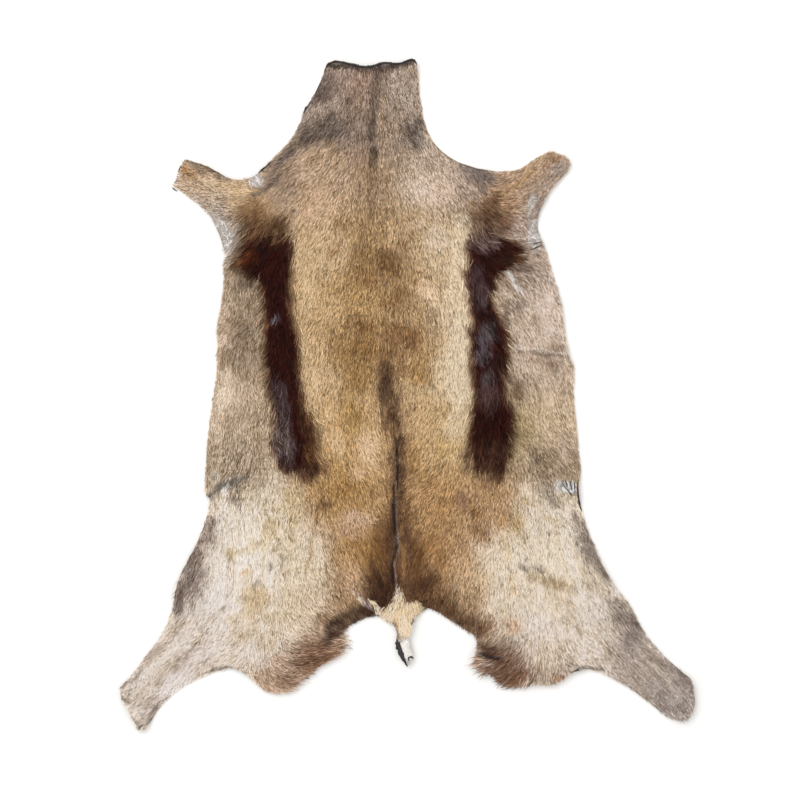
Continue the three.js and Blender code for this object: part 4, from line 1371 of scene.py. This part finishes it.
# Raw edges of the skin that curled and dried hard, each a stretch of the cut edge
driedStretches = table(
    "x1 x2 y1 y2 wide inset",
    (-130, 16, 480, 520, 3.8, 1.0),  # neck
    (-162, -150, 420, 436, 3.0, 0.8),  # neck, left notch
    (-272, -236, -426, -398, 4.6, 0.2),  # left hock
    (238, 262, -418, -396, 3.0, 0.8),  # right hock
    (-304, -284, -164, -146, 3.4, 1.0),  # left flank's tear
    (248, 270, -178, -126, 2.8, 0.6),  # right flank's tear
    (-436, -416, -470, -448, 3.0, 0.8),  # left hind leg's end
    (-410, -392, -520, -492, 3.0, 0.8),  # left hind leg's tip
    (-226, -200, 326, 352, 3.0, 0.8),  # neck's foot, left
)
around = 8
# Sharp creases in the bare skin, where it was drawn up as it dried. The white of the pale ones is partly
# painted highlight
creases = table(
    "line wide look",
    # Left foreleg's end
    ([(-343, 333), (-341, 338), (-338, 344)], 1.8, "dried"),
    ([(-350, 318), (-344, 321), (-337, 322)], 1.8, "dried"),
    ([(-353, 311), (-349, 308), (-344, 305)], 1.6, "dried"),
    ([(-347, 327), (-342, 329), (-336, 329)], 1.6, "pale"),
    ([(-351, 314), (-344, 315), (-336, 313)], 1.6, "pale"),
    # Left armpit
    ([(-254, 264), (-253, 252), (-253, 240), (-254, 230), (-258, 222)], 1.8, "pale"),
    ([(-268, 252), (-262, 247), (-256, 241)], 1.4, "pale"),
    ([(-280, 262), (-274, 257), (-270, 250)], 1.3, "pale"),
    ([(-276, 240), (-270, 236), (-266, 230)], 1.3, "pale"),
    ([(-262, 232), (-266, 226), (-272, 222)], 1.6, "pale"),
    # Left shoulder's fold
    ([(-237, 322), (-235, 314), (-232, 307), (-227, 301)], 1.8, "pale"),
    ([(-230, 330), (-226, 325), (-221, 321)], 1.6, "pale"),
    ([(-246, 322), (-242, 316), (-240, 309)], 1.4, "pale"),
    ([(-215, 312), (-221, 305), (-231, 297)], 1.6, "dried"),
    # Right armpit
    ([(172, 259), (175, 256), (179, 253)], 3.0, "pale"),
    ([(186, 236), (190, 235), (195, 232)], 2.2, "pale"),
    ([(180, 246), (184, 242), (186, 238)], 1.4, "pale"),
    ([(178, 215), (188, 218), (196, 221), (203, 224)], 1.8, "dried"),
    ([(184, 226), (192, 226), (202, 229)], 1.4, "dried"),
    ([(170, 262), (169, 252), (172, 244)], 1.3, "dried"),
    # Right flank's tear
    ([(236, -126), (238, -132), (240, -140)], 1.7, "dried"),
    ([(244, -128), (245, -136), (247, -144)], 1.6, "dried"),
    ([(250, -130), (251, -139), (251, -148)], 1.6, "dried"),
    ([(231, -131), (236, -138), (243, -146), (250, -154)], 1.4, "dried"),
    ([(240, -128), (242, -135), (243, -142)], 1.8, "pale"),
    ([(247, -127), (249, -134), (249, -142)], 1.8, "pale"),
)


def tube(line, wide, seed):
    # A lumpy tube along a line of places, thinning out at both ends
    line = np.array(line, float)
    forward = np.gradient(line, axis=0)
    forward /= np.maximum(np.linalg.norm(forward, axis=1), 1e-9)[:, None]
    side = np.column_stack([-forward[:, 1], forward[:, 0], np.zeros(len(line))])
    along = np.linspace(0, 1, len(line))
    taper = np.clip(np.sin(math.pi * along), 0, 1) ** 0.35
    turn = np.arange(around) / around * 2 * math.pi
    dice = np.random.default_rng(seed)
    lumps = dice.uniform(0.7, 1.25, (len(line), around)) * dice.uniform(0.7, 1.3, (len(line), 1))
    size = wide / 2 * taper[:, None] * lumps
    corners = (
        line[:, None]
        + side[:, None] * (np.cos(turn) * size)[..., None]
        + np.array([0, 0, 0.8]) * (np.sin(turn) * size)[..., None]
    )
    faces = []
    for k in range(len(line) - 1):
        for j in range(around):
            a, b = k * around + j, k * around + (j + 1) % around
            faces += [(a, b, b + around), (a, b + around, a + around)]
    for first in (0, (len(line) - 1) * around):
        order = range(around) if first else range(around - 1, -1, -1)
        ring = [first + j for j in order]
        faces += [(ring[0], ring[j], ring[j + 1]) for j in range(1, around - 1)]
    return corners.reshape(-1, 3), np.array(faces)


def joined(parts):
    corners, faces, first = [], [], 0
    for c, f in parts:
        corners.append(c)
        faces.append(f + first)
        first += len(c)
    return np.vstack(corners), np.vstack(faces)


def driedEdges():
    slopeY, slopeX = np.gradient(inside, sheet["spacing"])
    loop = evenLoop(cutEdges[0], 2.5, 1)
    parts = []
    for number, row in enumerate(driedStretches):
        x, y = loop.T
        chosen = (x > row["x1"]) & (x < row["x2"]) & (y > row["y1"]) & (y < row["y2"])
        starts = np.flatnonzero(chosen & ~np.roll(chosen, 1))
        for start in starts:
            count = int(np.argmin(np.roll(chosen, -start))) if not chosen.all() else len(chosen)
            if count < 4:
                continue
            place = np.roll(loop, -start, axis=0)[:count]
            px = place[:, 0] + row["inset"] * read(slopeX, *place.T)
            py = place[:, 1] + row["inset"] * read(slopeY, *place.T)
            parts.append(tube(onSkin(px, py, 0.15 * row["wide"]), row["wide"], 90 + number))
    return parts


# The hard black strip along the left side of the tail, bent over on itself
tailStrip = table(
    "x y wide",
    (-15.5, -364, 3.0), (-14, -370, 8.5), (-11.5, -380, 9.5), (-8, -390, 8.5), (-3, -400, 6.5),
    (1, -408, 2.5),
)
tailRing = {"x": 5.5, "y": -396, "across": 7.5, "wide": 2.2}


def onSkin(x, y, above):
    return np.column_stack([x, y, np.maximum(read(underside, x, y), 0) + sheet["skinThick"] + above])


def tailEdges():
    at = np.linspace(0, len(tailStrip) - 1, 24)
    stops = range(len(tailStrip))
    x, y, wide = (np.interp(at, stops, [row[key] for row in tailStrip]) for key in ("x", "y", "wide"))
    middle = onSkin(x, y, 1.0)
    corners, faces = tube(middle, 1.0, 120)
    middle = np.repeat(middle, around, axis=0)
    spread = np.repeat(wide, around)
    corners = middle + (corners - middle) * np.column_stack([spread, spread, np.full(len(spread), 2.2)])
    turn = np.linspace(0.1, 1.3 * math.pi, 16)
    half = tailRing["across"] / 2
    ring = onSkin(tailRing["x"] + half * np.cos(turn), tailRing["y"] + half * np.sin(turn), 0.8)
    bit = onSkin(np.array([10, 8.5, 7, 5.5]), np.array([-330.0, -336, -342, -348]), 0.8)
    return [(corners, faces), tube(ring, tailRing["wide"], 121), tube(bit, 4.2, 122)]


def creaseTubes(look):
    # Each crease wavers a little between its places
    tubes = []
    for number, row in enumerate(creases):
        if row["look"] == look:
            line = np.array(row["line"], float)
            at = np.linspace(0, len(line) - 1, 9)
            x, y = (np.interp(at, range(len(line)), line[:, k]) for k in (0, 1))
            x = x + 0.5 * softNoise(3, 131 + number, x, y)
            y = y + 0.5 * softNoise(3, 161 + number, x, y)
            tubes.append(tube(onSkin(x, y, 0.1), row["wide"], 140 + number))
    return tubes


dried, pale = driedEdges() + tailEdges() + creaseTubes("dried"), creaseTubes("pale")
edgeCorners, edgeFaces = joined(dried + pale)
paleFaces = sum(len(faces) for _, faces in pale)
newPiece(
    "dried_edges", edgeCorners, edgeFaces,
    [plainMaterial("driedRawhideEdge", driedEdge), plainMaterial("bareSkinWithCreaseGlint", paleCreaseAndGlint)],
    np.arange(len(edgeFaces)) >= len(edgeFaces) - paleFaces,
)
say(f"dried edges: {len(edgeFaces)} faces")


# Light, floor and camera
studio = {
    "floor": "#FAF9F7",
    "floorMottles": 3.0,  # to the metre
    "floorHalf": 6,
    "floorBelow": 0.0004,
    "sky": "#FFFFFF",
    "skyStrength": 0.9,
    "lampAt": (-1.3, 1.5, 2.6),
    "lampSize": 2.2,
    "lampWatts": 41,
    "viewWidth": 1.2,  # metres across the picture
    "viewMiddle": (-0.0106, -0.008),
    "viewHeight": 3.4,
}


def layFloor():
    material, tree, place = newMaterial("mattPaperFloor")
    mottle = addNode(
        tree, "ShaderNodeTexNoise", {"Scale": studio["floorMottles"], "Detail": 2.0}, {"Vector": place}
    )
    rough = addNode(
        tree, "ShaderNodeMapRange", {"To Min": 0.8, "To Max": 0.95}, {"Value": mottle.outputs["Fac"]}
    )
    shader = addNode(
        tree, "ShaderNodeBsdfPrincipled",
        {"Base Color": tone(studio["floor"]), "Specular IOR Level": 0.1},
        {"Roughness": rough.outputs["Result"]},
    )
    mesh = bpy.data.meshes.new("floor")
    half, down = studio["floorHalf"], -studio["floorBelow"]
    corners = [(-half, -half, down), (half, -half, down), (half, half, down), (-half, half, down)]
    mesh.from_pydata(corners, [], [(0, 1, 2, 3)])
    mesh.materials.append(finished(material, tree, shader))
    floor = bpy.data.objects.new("floor", mesh)
    bpy.context.scene.collection.objects.link(floor)


def lightAndCamera():
    scene = bpy.context.scene
    scene.view_settings.view_transform = "Standard"
    world = bpy.data.worlds.new("studio")
    world.use_nodes = True
    world.node_tree.nodes.clear()
    sky = addNode(
        world.node_tree, "ShaderNodeBackground",
        {"Color": tone(studio["sky"]), "Strength": studio["skyStrength"]},
    )
    addNode(world.node_tree, "ShaderNodeOutputWorld", {}, {"Surface": sky.outputs["Background"]})
    scene.world = world
    lamp = bpy.data.lights.new("softbox", "AREA")
    lamp.size = studio["lampSize"]
    lamp.energy = studio["lampWatts"]
    softbox = bpy.data.objects.new("softbox", lamp)
    softbox.location = studio["lampAt"]
    softbox.rotation_euler = (-softbox.location).to_track_quat("-Z", "Y").to_euler()
    scene.collection.objects.link(softbox)
    lens = bpy.data.cameras.new("camera")
    lens.sensor_width = 36
    lens.lens = 36 * studio["viewHeight"] / studio["viewWidth"]
    camera = bpy.data.objects.new("camera", lens)
    camera.location = (*studio["viewMiddle"], studio["viewHeight"])
    scene.collection.objects.link(camera)
    scene.camera = camera


layFloor()
lightAndCamera()
say("light and camera set")
